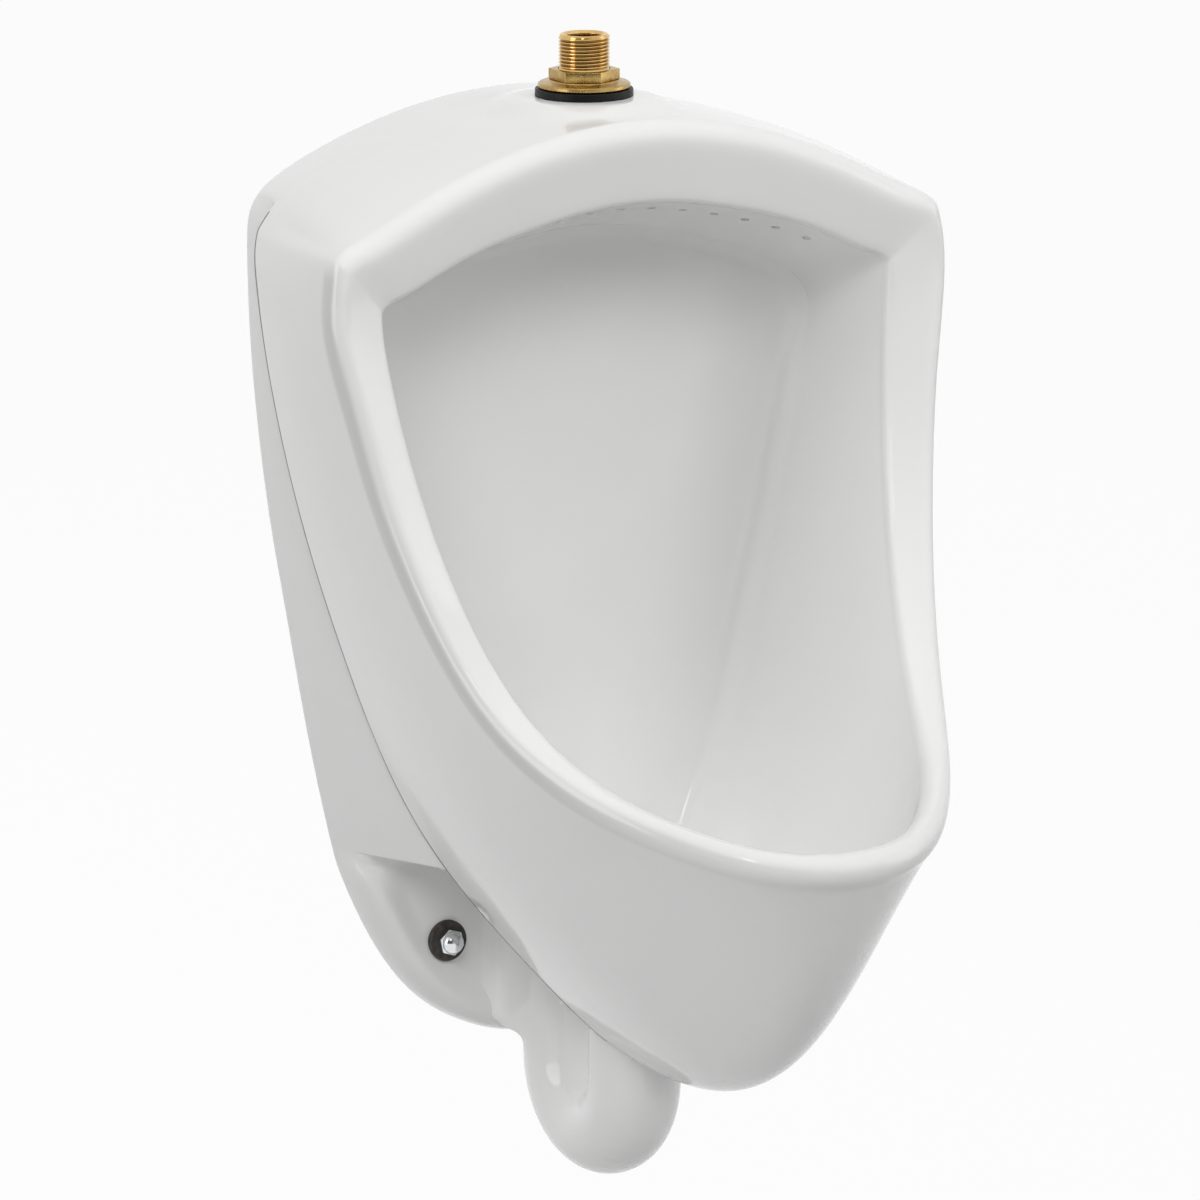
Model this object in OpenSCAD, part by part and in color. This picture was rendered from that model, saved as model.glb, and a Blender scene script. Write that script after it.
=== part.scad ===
// Wall-hung washout urinal in vitreous china: hooded bowl with side shields, integral trap,
// top inlet spud, lift-out strainer, outlet flange and wall hangers.
// Frame: origin at the outlet centre on the wall plane, +X right, -Y to the front, +Z up. Millimetres.

/* [China body] */
// Overall width across the side shields
body_w = 362; // [340:1:390]
// Distance from the wall to the front of the lip
rim_reach = 356; // [335:1:380]
// Height of the inlet deck above the outlet centre
deck_h = 450; // [435:1:475]
// Rounding of the outer rim edge at the sides
rim_round = 8; // [6:0.5:10]
// China thickness left between the bowl and the hollow back
back_web = 12; // [9:0.5:14]
// Points around one half of each body section
half_steps = 26; // [13:13:39]

/* [Flushing] */
// Distance from the wall to the inlet axis
inlet_y = 75; // [70:0.5:80]
// China thickness of the deck at the inlet
deck_t = 20; // [16:0.5:22]
// Height of the water chamber in the hood
chamber_h = 24; // [20:0.5:26]
// Spacing of the flush holes
flush_pitch = 18.5; // [17:0.1:19]
// Diameter of each flush hole
flush_d = 4.6; // [3:0.1:6]
// Flush holes on each side of the middle one
flush_side_count = 6; // [4:1:6]

/* [Inlet spud] */
// Thread diameter of the spud
spud_d = 26.3; // [25:0.1:27.5]
// Water way through the spud
spud_bore_d = 19.2; // [17:0.1:20.5]
// Thread pitch of the spud
spud_pitch = 1.8; // [1.6:0.05:2]
// Thread standing above the lock nut
spud_free = 18; // [15:0.5:22]
// Flange diameter of the spud under the deck
spud_flange_d = 42; // [38:0.5:46]
// Lock nut size across the flats
nut_af = 31.75; // [30:0.25:34]
// Lock nut height
nut_h = 5.5; // [5:0.5:9]
// Friction ring diameter
ring_d = 47.6; // [44:0.2:50]
// Friction ring height
ring_h = 4.5; // [3:0.5:6]
// Outer gasket diameter
gasket_d = 50.8; // [48:0.2:54]
// Outer gasket thickness
gasket_h = 4; // [3:0.5:5]
// Hole in the china deck for the spud
deck_hole_d = 32; // [30:0.5:34]

/* [Trap and drain] */
// Outside diameter of the trap legs
trap_d = 48.6; // [46:0.2:52]
// Water way through the trap
trap_bore_d = 34; // [30:0.5:36]
// Distance from the wall to the front leg
front_leg_y = 127; // [124:0.5:130]
// Distance from the wall to the rear leg
rear_leg_y = 59; // [57:0.5:62]
// Depth of the trap bend centre below the outlet centre
bend_z = 58; // [52:1:66]
// Depth of the strainer seat below the outlet centre
seat_z = 21; // [20:0.5:23]
// Strainer diameter
strainer_d = 46.8; // [44:0.2:48]

/* [Outlet and lower bolts] */
// Thickness of the mounting ears at their border
ear_t = 28; // [26:0.5:32]
// Depth of the ear pocket below the border
pocket_depth = 4; // [3:0.5:6]
// Distance from the middle to each lower bolt
bolt_x = 54.3; // [52:0.1:57]
// Diameter of the lower bolts
bolt_d = 7.8; // [7:0.1:8.4]
// Washer diameter
washer_d = 22; // [20:0.5:24]
// Washer thickness
washer_t = 3; // [2:0.25:4]
// Cap nut size across the flats
cap_af = 12.7; // [12:0.1:14]
// Outlet flange body diameter
flange_d = 72; // [68:0.5:74]
// Outlet flange thickness
flange_t = 12; // [10:0.5:13]
// Thread root diameter in the outlet flange
outlet_d = 57; // [54:0.5:58]
// Outlet gasket thickness
outlet_gasket_t = 4; // [3:0.5:5]

/* [Wall hangers] */
// Distance from the middle to each hanger
hanger_x = 95; // [88:1:100]
// Height of the hanger shelf above the outlet centre
hanger_z = 284; // [270:1:300]
// Hanger width
hanger_w = 50; // [40:1:56]
// Hanger steel thickness
hanger_t = 4; // [3:0.5:5]
// Spacing of the two screws in one hanger
screw_gap = 26; // [20:1:30]
// Hanger screw diameter
screw_d = 5.6; // [5:0.1:6]

/* [Fits] */
// Radial clearance of a piece in its hole
fit = 0.3; // [0.25:0.05:0.5]

/* [Hidden] */
$fn = 48;
sx = body_w / 362;
sy = rim_reach / 356;
sz = deck_h / 450;
chamber_top = deck_h - deck_t;
chamber_low = chamber_top - chamber_h;
// stack of the inlet fittings, from the deck upwards
ring_z = deck_h + gasket_h;
nut_z = ring_z + ring_h;
thread_z = nut_z + nut_h;
spud_top = thread_z + spud_free;
inner_gasket_h = 3.5;
spud_flange_t = 3;
spud_low = chamber_top - inner_gasket_h - spud_flange_t;
// stack of the outlet fittings, from the wall forwards
recess_t = flange_t + outlet_gasket_t;
pocket_y = ear_t - pocket_depth;
bend_mid = (front_leg_y + rear_leg_y) / 2;
bend_r = (front_leg_y - rear_leg_y) / 2;
strainer_t = 2.5;
strainer_neck_l = 12;
shelf_gap = 0.3;
bar_low = hanger_z + hanger_t + shelf_gap;
lip_y = 20;
lip_h = 13;
leg_top = seat_z + 6;
screw_z = hanger_z - 14;

// Half sections of the body, each from the top middle round the right side to the bottom middle
K0 = [[0, 0, 446], [55, 0, 440.5], [105, 0, 425.5], [140, 0, 409], [155, 0, 394], [157.5, 0, 372],
      [156.5, 0, 332], [153, 0, 287], [146, 0, 232], [136, 0, 177], [125, 0, 117], [110, 0, 51],
      [58, 0, 47], [0, 0, 47]];
K2 = [[0, -32, 447.3], [56, -32, 441.2], [108, -32, 426.5], [144, -33, 408], [156, -44, 390],
      [155, -64, 370], [152, -70, 332], [144, -70, 282], [134, -70, 227], [121, -70, 170],
      [106, -70, 110], [84, -79, 50], [44, -90, -2], [0, -96, -22]];
SE = [[0, -36, 447.5], [57, -36, 441.5], [110, -36, 427], [149, -36, 409.5], [171, -40, 392],
      [179, -52, 368], [176, -55, 332], [165.5, -55, 279], [150, -55.5, 221], [131, -56, 165],
      [110, -60, 109], [84, -76, 54], [46, -110, -3], [0, -148, -46]];
RO = [[0, -140, 443], [61, -140, 435.5], [117, -140, 416], [157, -140, 396.5], [176, -140.5, 381],
      [179.5, -141.5, 359], [172, -148, 320], [163, -158, 273], [151, -177, 223], [136, -208, 173],
      [114, -253, 138], [85, -302, 118], [48, -341, 106.5], [0, -356, 103.5]];
RI = [[0, -132, 401], [57, -132, 393.5], [104, -131.5, 379], [136, -131.5, 363], [146.5, -131.5, 348],
      [144.5, -134, 330], [139.5, -141, 295], [132, -155.6, 250], [122.5, -179, 204], [110, -213, 164],
      [92, -258, 136], [68, -299, 122], [37, -328, 113], [0, -336, 110]];
BW = [[0, -60, 378], [52, -60, 371], [97, -60, 358], [127, -58.5, 342], [137, -58, 326],
      [136, -57, 304], [129, -57, 270], [119, -57, 226], [108, -57, 179], [95, -58, 128],
      [78, -61, 82], [54, -70, 40], [26, -84, 10], [0, -92, -2]];
// Lower outline of the ears, from the outer top corner to the middle
EAR = [[110, 53], [108, 45], [105, 36], [95.5, 15], [81, -11], [63, -33], [45, -45.5], [24, -55.5],
       [0, -59]];

// Mirror image of a section point
function mir(p) = [-p[0], p[1], p[2]];
// Row i of a half section, continued over the middle plane
function row(t, i) = i < 0 ? mir(t[1]) : i > len(t) - 1 ? mir(t[len(t) - 2]) : t[i];
// Smooth curve through four rows
function smooth4(a, b, c, d, f) =
    0.5 * (2 * b + (c - a) * f + (2 * a - 5 * b + 4 * c - d) * f * f
    + (3 * b - a - 3 * c + d) * f * f * f);
// Point of a half section at share s of its rows
function at(t, s) =
    let (n = len(t) - 1, v = s * n, i = max(min(floor(v), n - 1), 0))
    smooth4(row(t, i - 1), row(t, i), row(t, i + 1), row(t, i + 2), v - i);
function around(t, s) = s < 0 ? mir(at(t, -s)) : s > 1 ? mir(at(t, 2 - s)) : at(t, s);
function unit(v) = v / norm(v);
function ease(v) = let (c = max(min(v, 1), 0)) c * c * (3 - 2 * c);
function clamp01(v) = max(min(v, 1), 0);
function bez(a, b, c, d, v) =
    a * pow(1 - v, 3) + 3 * b * v * pow(1 - v, 2) + 3 * c * v * v * (1 - v) + d * pow(v, 3);

// Directions at the rim: in over the band, and out of its face
function band(s) = unit(at(RI, s) - at(RO, s));
function face_dir(s) = unit(cross(band(s), around(RO, s + 0.01) - around(RO, s - 0.01)));
function top_share(s) = clamp01((4.5 - 13 * s) / 1.5);
function low_share(s) = ease((13 * s - 8) / 5);
function outer_r(s) = rim_round + 3 * top_share(s) + low_share(s);
function inner_r(s) = 6 + 3 * low_share(s) - top_share(s);
function rim_out(s, a) =
    at(RO, s) + (band(s) * (1 - cos(a)) - face_dir(s) * (1 - sin(a))) * outer_r(s);
function rim_in(s, a) =
    at(RI, s) - (band(s) * (1 - cos(a)) + face_dir(s) * (1 - sin(a))) * inner_r(s);

// Skirt between the rim and its free rear edge, with the belly of the bowl at the bottom
function side_share(s) = clamp01(13 * s - 3) * clamp01(at(RO, s)[0] / 60);
function skirt(s, v) =
    let (a = rim_out(s, 0), d = at(SE, s), q = low_share(s), e = len(RO) - 1, g = side_share(s),
         k1 = [0, -325, 37] - (RO[e] * 0.7 + SE[e] * 0.3),
         k2 = [0, -285, -62] - (RO[e] * 0.3 + SE[e] * 0.7),
         b = a + (d - a) * 0.3 + k1 * q + [(3 - 2.8 * q) * g, 0, 0],
         c = a + (d - a) * 0.7 + k2 * q + [(3 + 2.7 * q) * g, 0, 0])
    bez(a, b, c, d, v);

// Inner face of the bowl between the rim and the rear wall of the bowl
function bowl(s, v) =
    let (a = rim_in(s, 0), d = at(BW, s), a1 = rim_in(1, 0), d1 = BW[len(BW) - 1],
         q = ease((13 * s - 7) / 6), h = 4 * q * (1 - q),
         m1 = [0, -338, 10] - (a1 * 0.67 + d1 * 0.33), m2 = [0, -200, -48] - (a1 * 0.33 + d1 * 0.67),
         b = a + (d - a) * 0.33 + m1 * q + [0, 0, 4 * h],
         c = a + (d - a) * 0.67 + m2 * q + [-3 * h * clamp01(at(RO, s)[0] / 40), 0, 12 * h])
    bez(a, b, c, d, v);

// Section number k at share s: back, skirt, rim and bowl in order
skirt_n = 9;
bowl_n = 8;
section_count = 2 + skirt_n + 1 + 3 + 4 + bowl_n;
function section(k, s) =
    k == 0 ? at(K0, s) :
    k == 1 ? at(K2, s) :
    k < 3 + skirt_n ? skirt(s, 1 - (k - 2) / skirt_n) :
    k < 6 + skirt_n ? rim_out(s, 30 * (k - 2 - skirt_n)) :
    k < 10 + skirt_n ? rim_in(s, 90 - 30 * (k - 6 - skirt_n)) :
    bowl(s, (k - 9 - skirt_n) / bowl_n);
function sized(p) = [p[0] * sx, p[1] * sy, p[2] * sz];
function ring_points(k) =
    let (m = half_steps, h = [for (i = [0:m]) sized(section(k, i / m))])
    concat([[0, h[0][1], h[0][2]]], [for (i = [1:m - 1]) h[i]], [[0, h[m][1], h[m][2]]],
           [for (i = [1:m - 1]) mir(h[m - i])]);

module body_skin() {
    n = 2 * half_steps;
    m = section_count;
    pts = concat([for (k = [0:m - 1]) each ring_points(k)],
                 [sized([0, 0, 230]), sized([0, -57, 200])]);
    sides = [for (k = [0:m - 2], i = [0:n - 1])
             let (a = k * n + i, b = k * n + (i + 1) % n) each [[a, b, b + n], [a, b + n, a + n]]];
    back = [for (i = [0:n - 1]) [m * n, (i + 1) % n, i]];
    deep = [for (i = [0:n - 1]) [m * n + 1, (m - 1) * n + i, (m - 1) * n + (i + 1) % n]];
    polyhedron(points = pts, faces = concat(sides, back, deep), convexity = 10);
}

// Smooth outline of both ears, as one closed plane figure
function ear_row(i) =
    i < 0 ? [EAR[0][0] + 0.5, EAR[0][1] + 16] : i > 8 ? [-EAR[7][0], EAR[7][1]] : EAR[i];
function ear_at(v) =
    let (i = min(floor(v), 7)) smooth4(ear_row(i - 1), ear_row(i), ear_row(i + 1), ear_row(i + 2), v - i);
function ear_half(n) = [for (i = [0:n]) let (p = ear_at(8 * i / n)) [max(p[0], 0) * sx, p[1]]];
module ear_outline(n = 20) {
    h = ear_half(n);
    polygon(concat(h, [for (i = [1:n]) [-h[n - i][0], h[n - i][1]]]));
}
// Plane figures are drawn in X and Z and pulled out along Y between two distances from the wall
module from_wall(y0, y1) {
    translate([0, -y0, 0])
        rotate([90, 0, 0])
            linear_extrude(height = y1 - y0)
                children();
}

module ears() {
    difference() {
        from_wall(0, ear_t)
            ear_outline();
        for (s = [-1, 1])
            from_wall(pocket_y, ear_t + 1)
                intersection() {
                    offset(delta = -9)
                        ear_outline();
                    translate([s * 67, 4])
                        square([78, 90], center = true);
                }
    }
}

// Fired china trap: two legs, the bend, the web between them and the elbow to the outlet
module trap_outside() {
    r = trap_d / 2;
    translate([0, -front_leg_y, -bend_z])
        cylinder(h = bend_z - leg_top, r = r);
    translate([0, -rear_leg_y, -bend_z])
        cylinder(h = bend_z, r = r);
    translate([0, -rear_leg_y, 0])
        sphere(r = r);
    from_wall(ear_t / 2, rear_leg_y)
        circle(r = r);
    translate([0, -bend_mid, -bend_z])
        rotate([0, 90, 0])
            rotate([0, 0, -90])
                rotate_extrude(angle = 180)
                    translate([bend_r, 0])
                        circle(r = r);
    translate([-8, -front_leg_y, -bend_z - bend_r * 0.6])
        cube([16, front_leg_y - rear_leg_y, bend_z + bend_r * 0.6 - leg_top]);
    translate([-19, -rear_leg_y, -bend_z])
        cube([38, rear_leg_y - ear_t / 2, bend_z + 40]);
}
module trap_inside() {
    r = trap_bore_d / 2;
    translate([0, -front_leg_y, -bend_z])
        cylinder(h = bend_z + 12, r = r);
    translate([0, -rear_leg_y, -bend_z])
        cylinder(h = bend_z, r = r);
    translate([0, -rear_leg_y, 0])
        sphere(r = r);
    from_wall(0, rear_leg_y)
        circle(r = r);
    translate([0, -bend_mid, -bend_z])
        rotate([0, 90, 0])
            rotate([0, 0, -90])
                rotate_extrude(angle = 180)
                    translate([bend_r, 0])
                        circle(r = r);
}

// Water chamber in the hood and its row of flush holes
function arch(x) = -0.00185 * x * x;
module arch_band(low, high, half) {
    n = 8;
    xs = [for (i = [-n:n]) half * i / n];
    polygon(concat([for (x = xs) [x, high + arch(x)]],
                   [for (i = [0:2 * n]) [xs[2 * n - i], low + arch(xs[2 * n - i])]]));
}
module flush_ways() {
    from_wall(48, 116)
        arch_band(chamber_low, chamber_top, 118 * sx);
    for (i = [-flush_side_count:flush_side_count])
        translate([i * flush_pitch, -112, chamber_low + arch(i * flush_pitch) - 26])
            cylinder(h = 30, r = flush_d / 2, $fn = 24);
    translate([0, -inlet_y, chamber_top - 8])
        cylinder(h = 8, r = spud_flange_d / 2 + 2);
    translate([0, -inlet_y, chamber_top - 2])
        cylinder(h = deck_t + 4, r = deck_hole_d / 2);
}

// Hollow back, open to the wall, with a hanging bar across it
module back_hollow() {
    depth = 57 - back_web;
    from_wall(-1, depth)
        polygon([[-92 * sx, 63], [92 * sx, 63], [133 * sx, bar_low], [-133 * sx, bar_low]]);
    from_wall(-1, 34)
        polygon(concat([[-134 * sx, bar_low + 34], [134 * sx, bar_low + 34]],
                       [for (i = [8:-1:-8]) let (x = 16.5 * i * sx) [x, deck_h - 22 + arch(x)]]));
    for (s = [-1, 1]) {
        translate([s * hanger_x - hanger_w / 2 - 2, -hanger_t - 0.6, bar_low - 1])
            cube([hanger_w + 4, hanger_t + 1.6, 36]);
        translate([s * hanger_x - hanger_w / 2 - 2, -lip_y - 1, bar_low - 1])
            cube([hanger_w + 4, hanger_t + 2, lip_h]);
    }
}

module outlet_recess() {
    from_wall(-1, recess_t)
        hull() {
            circle(r = flange_d / 2 + 2);
            for (s = [-1, 1])
                translate([s * bolt_x, 0])
                    circle(r = 15);
        }
    for (s = [-1, 1])
        translate([s * bolt_x, 0, 0])
            from_wall(0, ear_t + 1)
                circle(r = bolt_d / 2 + 1.2);
}

// One fired piece: bowl, hood, shields, back, ears and trap
module china_body() {
    color([0.93, 0.93, 0.92])
    difference() {
        union() {
            body_skin();
            ears();
            trap_outside();
            translate([0, -inlet_y, deck_h - 14])
                cylinder(h = 14, r1 = 46, r2 = 31);
        }
        flush_ways();
        back_hollow();
        trap_inside();
        outlet_recess();
        translate([0, -front_leg_y, -seat_z])
            cylinder(h = 30, r = strainer_d / 2 + fit);
    }
}

// Ring profile with a rectangular section
module tube(d_out, d_in, h) {
    difference() {
        cylinder(h = h, r = d_out / 2);
        translate([0, 0, -1])
            cylinder(h = h + 2, r = d_in / 2);
    }
}

// Brass inlet spud: flange below the deck, threaded pipe above it
module inlet_spud() {
    r = spud_d / 2;
    turns = floor((spud_free - 1) / spud_pitch);
    depth = 0.95;
    ridges = [for (i = [0:turns - 1])
              let (z = thread_z - spud_low + 0.2 + i * spud_pitch)
              each [[r, z + spud_pitch * 0.15], [r - depth, z + spud_pitch * 0.5],
                    [r, z + spud_pitch * 0.85]]];
    color([0.78, 0.6, 0.25])
    translate([0, -inlet_y, spud_low])
        rotate_extrude()
            polygon(concat([[spud_bore_d / 2, 0], [spud_flange_d / 2, 0],
                            [spud_flange_d / 2, spud_flange_t], [r, spud_flange_t]],
                           ridges,
                           [[r, spud_top - spud_low - 1.4], [r - 1.4, spud_top - spud_low],
                            [spud_bore_d / 2 + 0.8, spud_top - spud_low],
                            [spud_bore_d / 2, spud_top - spud_low - 0.8]]));
}

// Brass lock nut
module spud_lock_nut() {
    color([0.8, 0.62, 0.28])
    translate([0, -inlet_y, nut_z])
        difference() {
            intersection() {
                cylinder(h = nut_h, r = nut_af / sqrt(3), $fn = 6);
                translate([0, 0, -1])
                    cylinder(h = nut_h + 2, r1 = nut_af * 0.6, r2 = nut_af * 0.535);
            }
            translate([0, 0, -1])
                cylinder(h = nut_h + 2, r = spud_d / 2 + fit);
        }
}

// Brass friction ring with a raised middle
module spud_friction_ring() {
    r = ring_d / 2;
    color([0.76, 0.6, 0.3])
    translate([0, -inlet_y, ring_z])
        rotate_extrude()
            polygon([[spud_d / 2 + fit, 0], [r - 0.8, 0], [r, 0.8], [r, ring_h * 0.55],
                     [r - 1, ring_h * 0.7], [nut_af / 2 + 3, ring_h * 0.8],
                     [nut_af / 2 + 2.2, ring_h], [spud_d / 2 + fit, ring_h]]);
}

// Black rubber gasket on the deck
module spud_gasket() {
    color([0.06, 0.06, 0.06])
    translate([0, -inlet_y, deck_h])
        tube(gasket_d, spud_d + 2 * fit, gasket_h);
}

// Rubber washer between the spud flange and the underside of the deck
module spud_inner_gasket() {
    color([0.08, 0.08, 0.08])
    translate([0, -inlet_y, chamber_top - inner_gasket_h])
        tube(spud_flange_d, spud_d + 2 * fit, inner_gasket_h);
}

// Stainless strainer standing in the drain, lifted out for cleaning
module outlet_strainer() {
    r = strainer_d / 2;
    dome = r - 6;
    color([0.72, 0.73, 0.74])
    translate([0, -front_leg_y, -seat_z])
        difference() {
            rotate_extrude()
                polygon(concat([[trap_bore_d / 2 - fit - 1.5, -strainer_neck_l],
                                [trap_bore_d / 2 - fit, -strainer_neck_l],
                                [trap_bore_d / 2 - fit, 0], [r, 0], [r, strainer_t]],
                               [for (a = [0:15:75]) [dome * cos(a), strainer_t + 13 * sin(a)]],
                               [[0, strainer_t + 13], [0, strainer_t + 11]],
                               [for (a = [75:-15:0])
                                [(dome - 2) * cos(a), strainer_t + 11 * sin(a)]],
                               [[trap_bore_d / 2 - fit - 1.5, strainer_t - 0.2]]));
            for (i = [0:11])
                rotate([0, 0, 30 * i])
                    translate([5.5, -1, strainer_t + 1])
                        cube([12, 2, 14]);
        }
}

// Outlet flange against the wall, with the pipe thread and two bolt slots
module outlet_flange() {
    color([0.62, 0.47, 0.22])
    difference() {
        from_wall(0, flange_t)
            hull() {
                circle(r = flange_d / 2);
                for (s = [-1, 1])
                    translate([s * bolt_x, 0])
                        circle(r = 13);
            }
        from_wall(-1, flange_t + 1)
            circle(r = outlet_d / 2);
        for (s = [-1, 1])
            translate([s * bolt_x, 0, 0]) {
                from_wall(-1, flange_t + 1)
                    circle(r = bolt_d / 2 + fit);
                from_wall(-1, 5)
                    square(14 + 2 * fit, center = true);
            }
    }
}

// Rubber gasket between the flange and the china outlet
module outlet_gasket() {
    color([0.1, 0.1, 0.1])
    translate([0, -flange_t, 0])
        rotate([90, 0, 0])
            tube(flange_d, outlet_d - 10, outlet_gasket_t);
}

// Two square-headed bolts from the flange through the ears
module flange_bolts() {
    color([0.7, 0.71, 0.72])
    for (s = [-1, 1])
        translate([s * bolt_x, 0, 0]) {
            from_wall(0.6, 4.9)
                square(14, center = true);
            from_wall(4, pocket_y + washer_t + 8)
                circle(r = bolt_d / 2);
        }
}

// Dark washers under the cap nuts
module bolt_washers() {
    color([0.13, 0.12, 0.11])
    for (s = [-1, 1])
        translate([s * bolt_x, -pocket_y, 0])
            rotate([90, 0, 0])
                tube(washer_d, bolt_d + 2 * fit, washer_t);
}

// Chrome cap nuts on the lower bolts
module cap_nuts() {
    hex_h = 6.5;
    cap_h = 12.5;
    color([0.82, 0.83, 0.84])
    for (s = [-1, 1])
        translate([s * bolt_x, -pocket_y - washer_t, 0])
            rotate([90, 0, 0])
                difference() {
                    union() {
                        cylinder(h = hex_h, r = cap_af / sqrt(3), $fn = 6);
                        rotate_extrude()
                            polygon(concat([[0, 0], [cap_af / 2 - 0.3, 0]],
                                           [for (a = [0:15:90]) [(cap_af / 2 - 0.3) * cos(a),
                                            hex_h + (cap_h - hex_h) * sin(a)]]));
                    }
                    translate([0, 0, -1])
                        cylinder(h = 10.2, r = bolt_d / 2 + fit);
                }
}

// Steel hanger: wall plate with a shelf and an upturned lip
module hanger() {
    w = hanger_w;
    t = hanger_t;
    difference() {
        union() {
            translate([-w / 2, -t, hanger_z - 28])
                cube([w, t, 28 + t + 18]);
            translate([-w / 2, -lip_y, hanger_z])
                cube([w, lip_y, t]);
            translate([-w / 2, -lip_y, hanger_z])
                cube([w, t, t + lip_h - 3]);
        }
        for (s = [-1, 1])
            translate([s * screw_gap / 2, 0, screw_z])
                from_wall(-1, t + 1)
                    circle(r = screw_d / 2 + fit);
    }
}
module wall_hanger_left() {
    color([0.55, 0.56, 0.58])
    translate([-hanger_x, 0, 0])
        hanger();
}
module wall_hanger_right() {
    color([0.55, 0.56, 0.58])
    translate([hanger_x, 0, 0])
        hanger();
}

// Four round-head screws holding the hangers
module hanger_screws() {
    head_h = 3.2;
    color([0.65, 0.66, 0.68])
    for (s = [-1, 1], g = [-1, 1])
        translate([s * hanger_x + g * screw_gap / 2, -hanger_t, screw_z])
            rotate([90, 0, 0])
                rotate_extrude()
                    polygon([[0, -hanger_t], [screw_d / 2, -hanger_t], [screw_d / 2, 0], [5.4, 0],
                             [5.1, 1.4], [3.6, 2.7], [0, head_h]]);
}

china_body();
inlet_spud();
spud_lock_nut();
spud_friction_ring();
spud_gasket();
spud_inner_gasket();
outlet_strainer();
outlet_flange();
outlet_gasket();
flange_bolts();
bolt_washers();
cap_nuts();
wall_hanger_left();
wall_hanger_right();
hanger_screws();
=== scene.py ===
import math
import bpy
import bmesh
from mathutils import Matrix, Vector
from mathutils.kdtree import KDTree


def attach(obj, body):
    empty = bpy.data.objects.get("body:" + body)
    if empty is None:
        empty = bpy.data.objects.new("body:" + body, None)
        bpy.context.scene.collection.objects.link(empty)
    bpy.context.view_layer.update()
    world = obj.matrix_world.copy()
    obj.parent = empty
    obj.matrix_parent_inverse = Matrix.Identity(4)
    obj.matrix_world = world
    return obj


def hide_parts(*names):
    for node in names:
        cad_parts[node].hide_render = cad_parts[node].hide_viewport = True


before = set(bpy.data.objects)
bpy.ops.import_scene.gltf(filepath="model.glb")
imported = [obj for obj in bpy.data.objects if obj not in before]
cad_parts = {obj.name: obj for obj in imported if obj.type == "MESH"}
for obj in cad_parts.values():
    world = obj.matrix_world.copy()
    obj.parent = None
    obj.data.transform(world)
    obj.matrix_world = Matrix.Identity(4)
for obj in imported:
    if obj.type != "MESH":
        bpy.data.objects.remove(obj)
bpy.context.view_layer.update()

mm = 0.001
print("frame loaded:", len(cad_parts), "nodes")


def addObject(name, data):
    made = bpy.data.objects.new(name, data)
    bpy.context.scene.collection.objects.link(made)
    return made


# camera at the photograph's viewing angle; metres, degrees and millimetres of film
cameraSettings = {
    "place": (-2.5242, -4.4633, 1.2697),
    "azimuth": -30.0, "elevation": 12.088,
    "lens": 300.0, "sensor": 36.0, "clipEnd": 60,
}


def makeCamera(s):
    a, e = math.radians(s["azimuth"]), math.radians(s["elevation"])
    back = Vector((math.sin(a) * math.cos(e), -math.cos(a) * math.cos(e), math.sin(e)))
    right = Vector((math.cos(a), math.sin(a), 0))
    up = back.cross(right)
    data = bpy.data.cameras.new("photoCamera")
    data.lens, data.sensor_width, data.clip_end = s["lens"], s["sensor"], s["clipEnd"]
    camera = addObject("photoCamera", data)
    turn = Matrix((right, up, back)).transposed().to_4x4()
    camera.matrix_world = Matrix.Translation(s["place"]) @ turn
    bpy.context.scene.camera = camera


makeCamera(cameraSettings)
print("camera placed")


# node helpers; each works in the tree of the socket or node that it is given
def newNode(near, kind, values=None):
    node = near.id_data.nodes.new("ShaderNode" + kind)
    for key, value in (values or {}).items():
        node.inputs[key].default_value = value
    return node


def join(output, socket):
    output.id_data.links.new(output, socket)


def newFinish(name, colour, roughness, metallic=0.0, ior=1.5):
    material = bpy.data.materials.new(name)
    material.use_nodes = True
    shader = material.node_tree.nodes["Principled BSDF"]
    shader.inputs["Base Color"].default_value = (*colour, 1)
    shader.inputs["Roughness"].default_value = roughness
    shader.inputs["Metallic"].default_value = metallic
    shader.inputs["IOR"].default_value = ior
    return material, shader, newNode(shader, "TexCoord").outputs["Object"]


def noiseOf(place, scale, detail=3.0, stretch=(1, 1, 1), rough=0.5):
    mapping = newNode(place, "Mapping", {"Scale": stretch})
    join(place, mapping.inputs["Vector"])
    noise = newNode(place, "TexNoise", {"Scale": scale, "Detail": detail, "Roughness": rough})
    join(mapping.outputs["Vector"], noise.inputs["Vector"])
    return noise.outputs["Fac"]


def rangeOf(value, fromLow, fromHigh, toLow=0, toHigh=1):
    numbers = {"From Min": fromLow, "From Max": fromHigh, "To Min": toLow, "To Max": toHigh}
    node = newNode(value, "MapRange", numbers)
    join(value, node.inputs["Value"])
    return node.outputs["Result"]


def mixOf(factor, first, second):
    node = newNode(factor, "Mix")
    node.data_type = "RGBA"
    join(factor, node.inputs[0])
    for socket, colour in ((node.inputs[6], first), (node.inputs[7], second)):
        if isinstance(colour, tuple):
            socket.default_value = (*colour, 1)
        else:
            join(colour, socket)
    return node.outputs[2]


def bumpOf(shader, height, strength, distance, below=None):
    node = newNode(shader, "Bump", {"Strength": strength, "Distance": distance})
    join(height, node.inputs["Height"])
    if below:
        join(below, node.inputs["Normal"])
    join(node.outputs["Normal"], shader.inputs["Normal"])
    return node.outputs["Normal"]


def greaterOf(first, second):
    node = newNode(first, "Math")
    node.operation = "MAXIMUM"
    join(first, node.inputs[0])
    join(second, node.inputs[1])
    return node.outputs[0]


def axesOf(place):
    node = newNode(place, "SeparateXYZ")
    join(place, node.inputs["Vector"])
    return node.outputs


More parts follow.
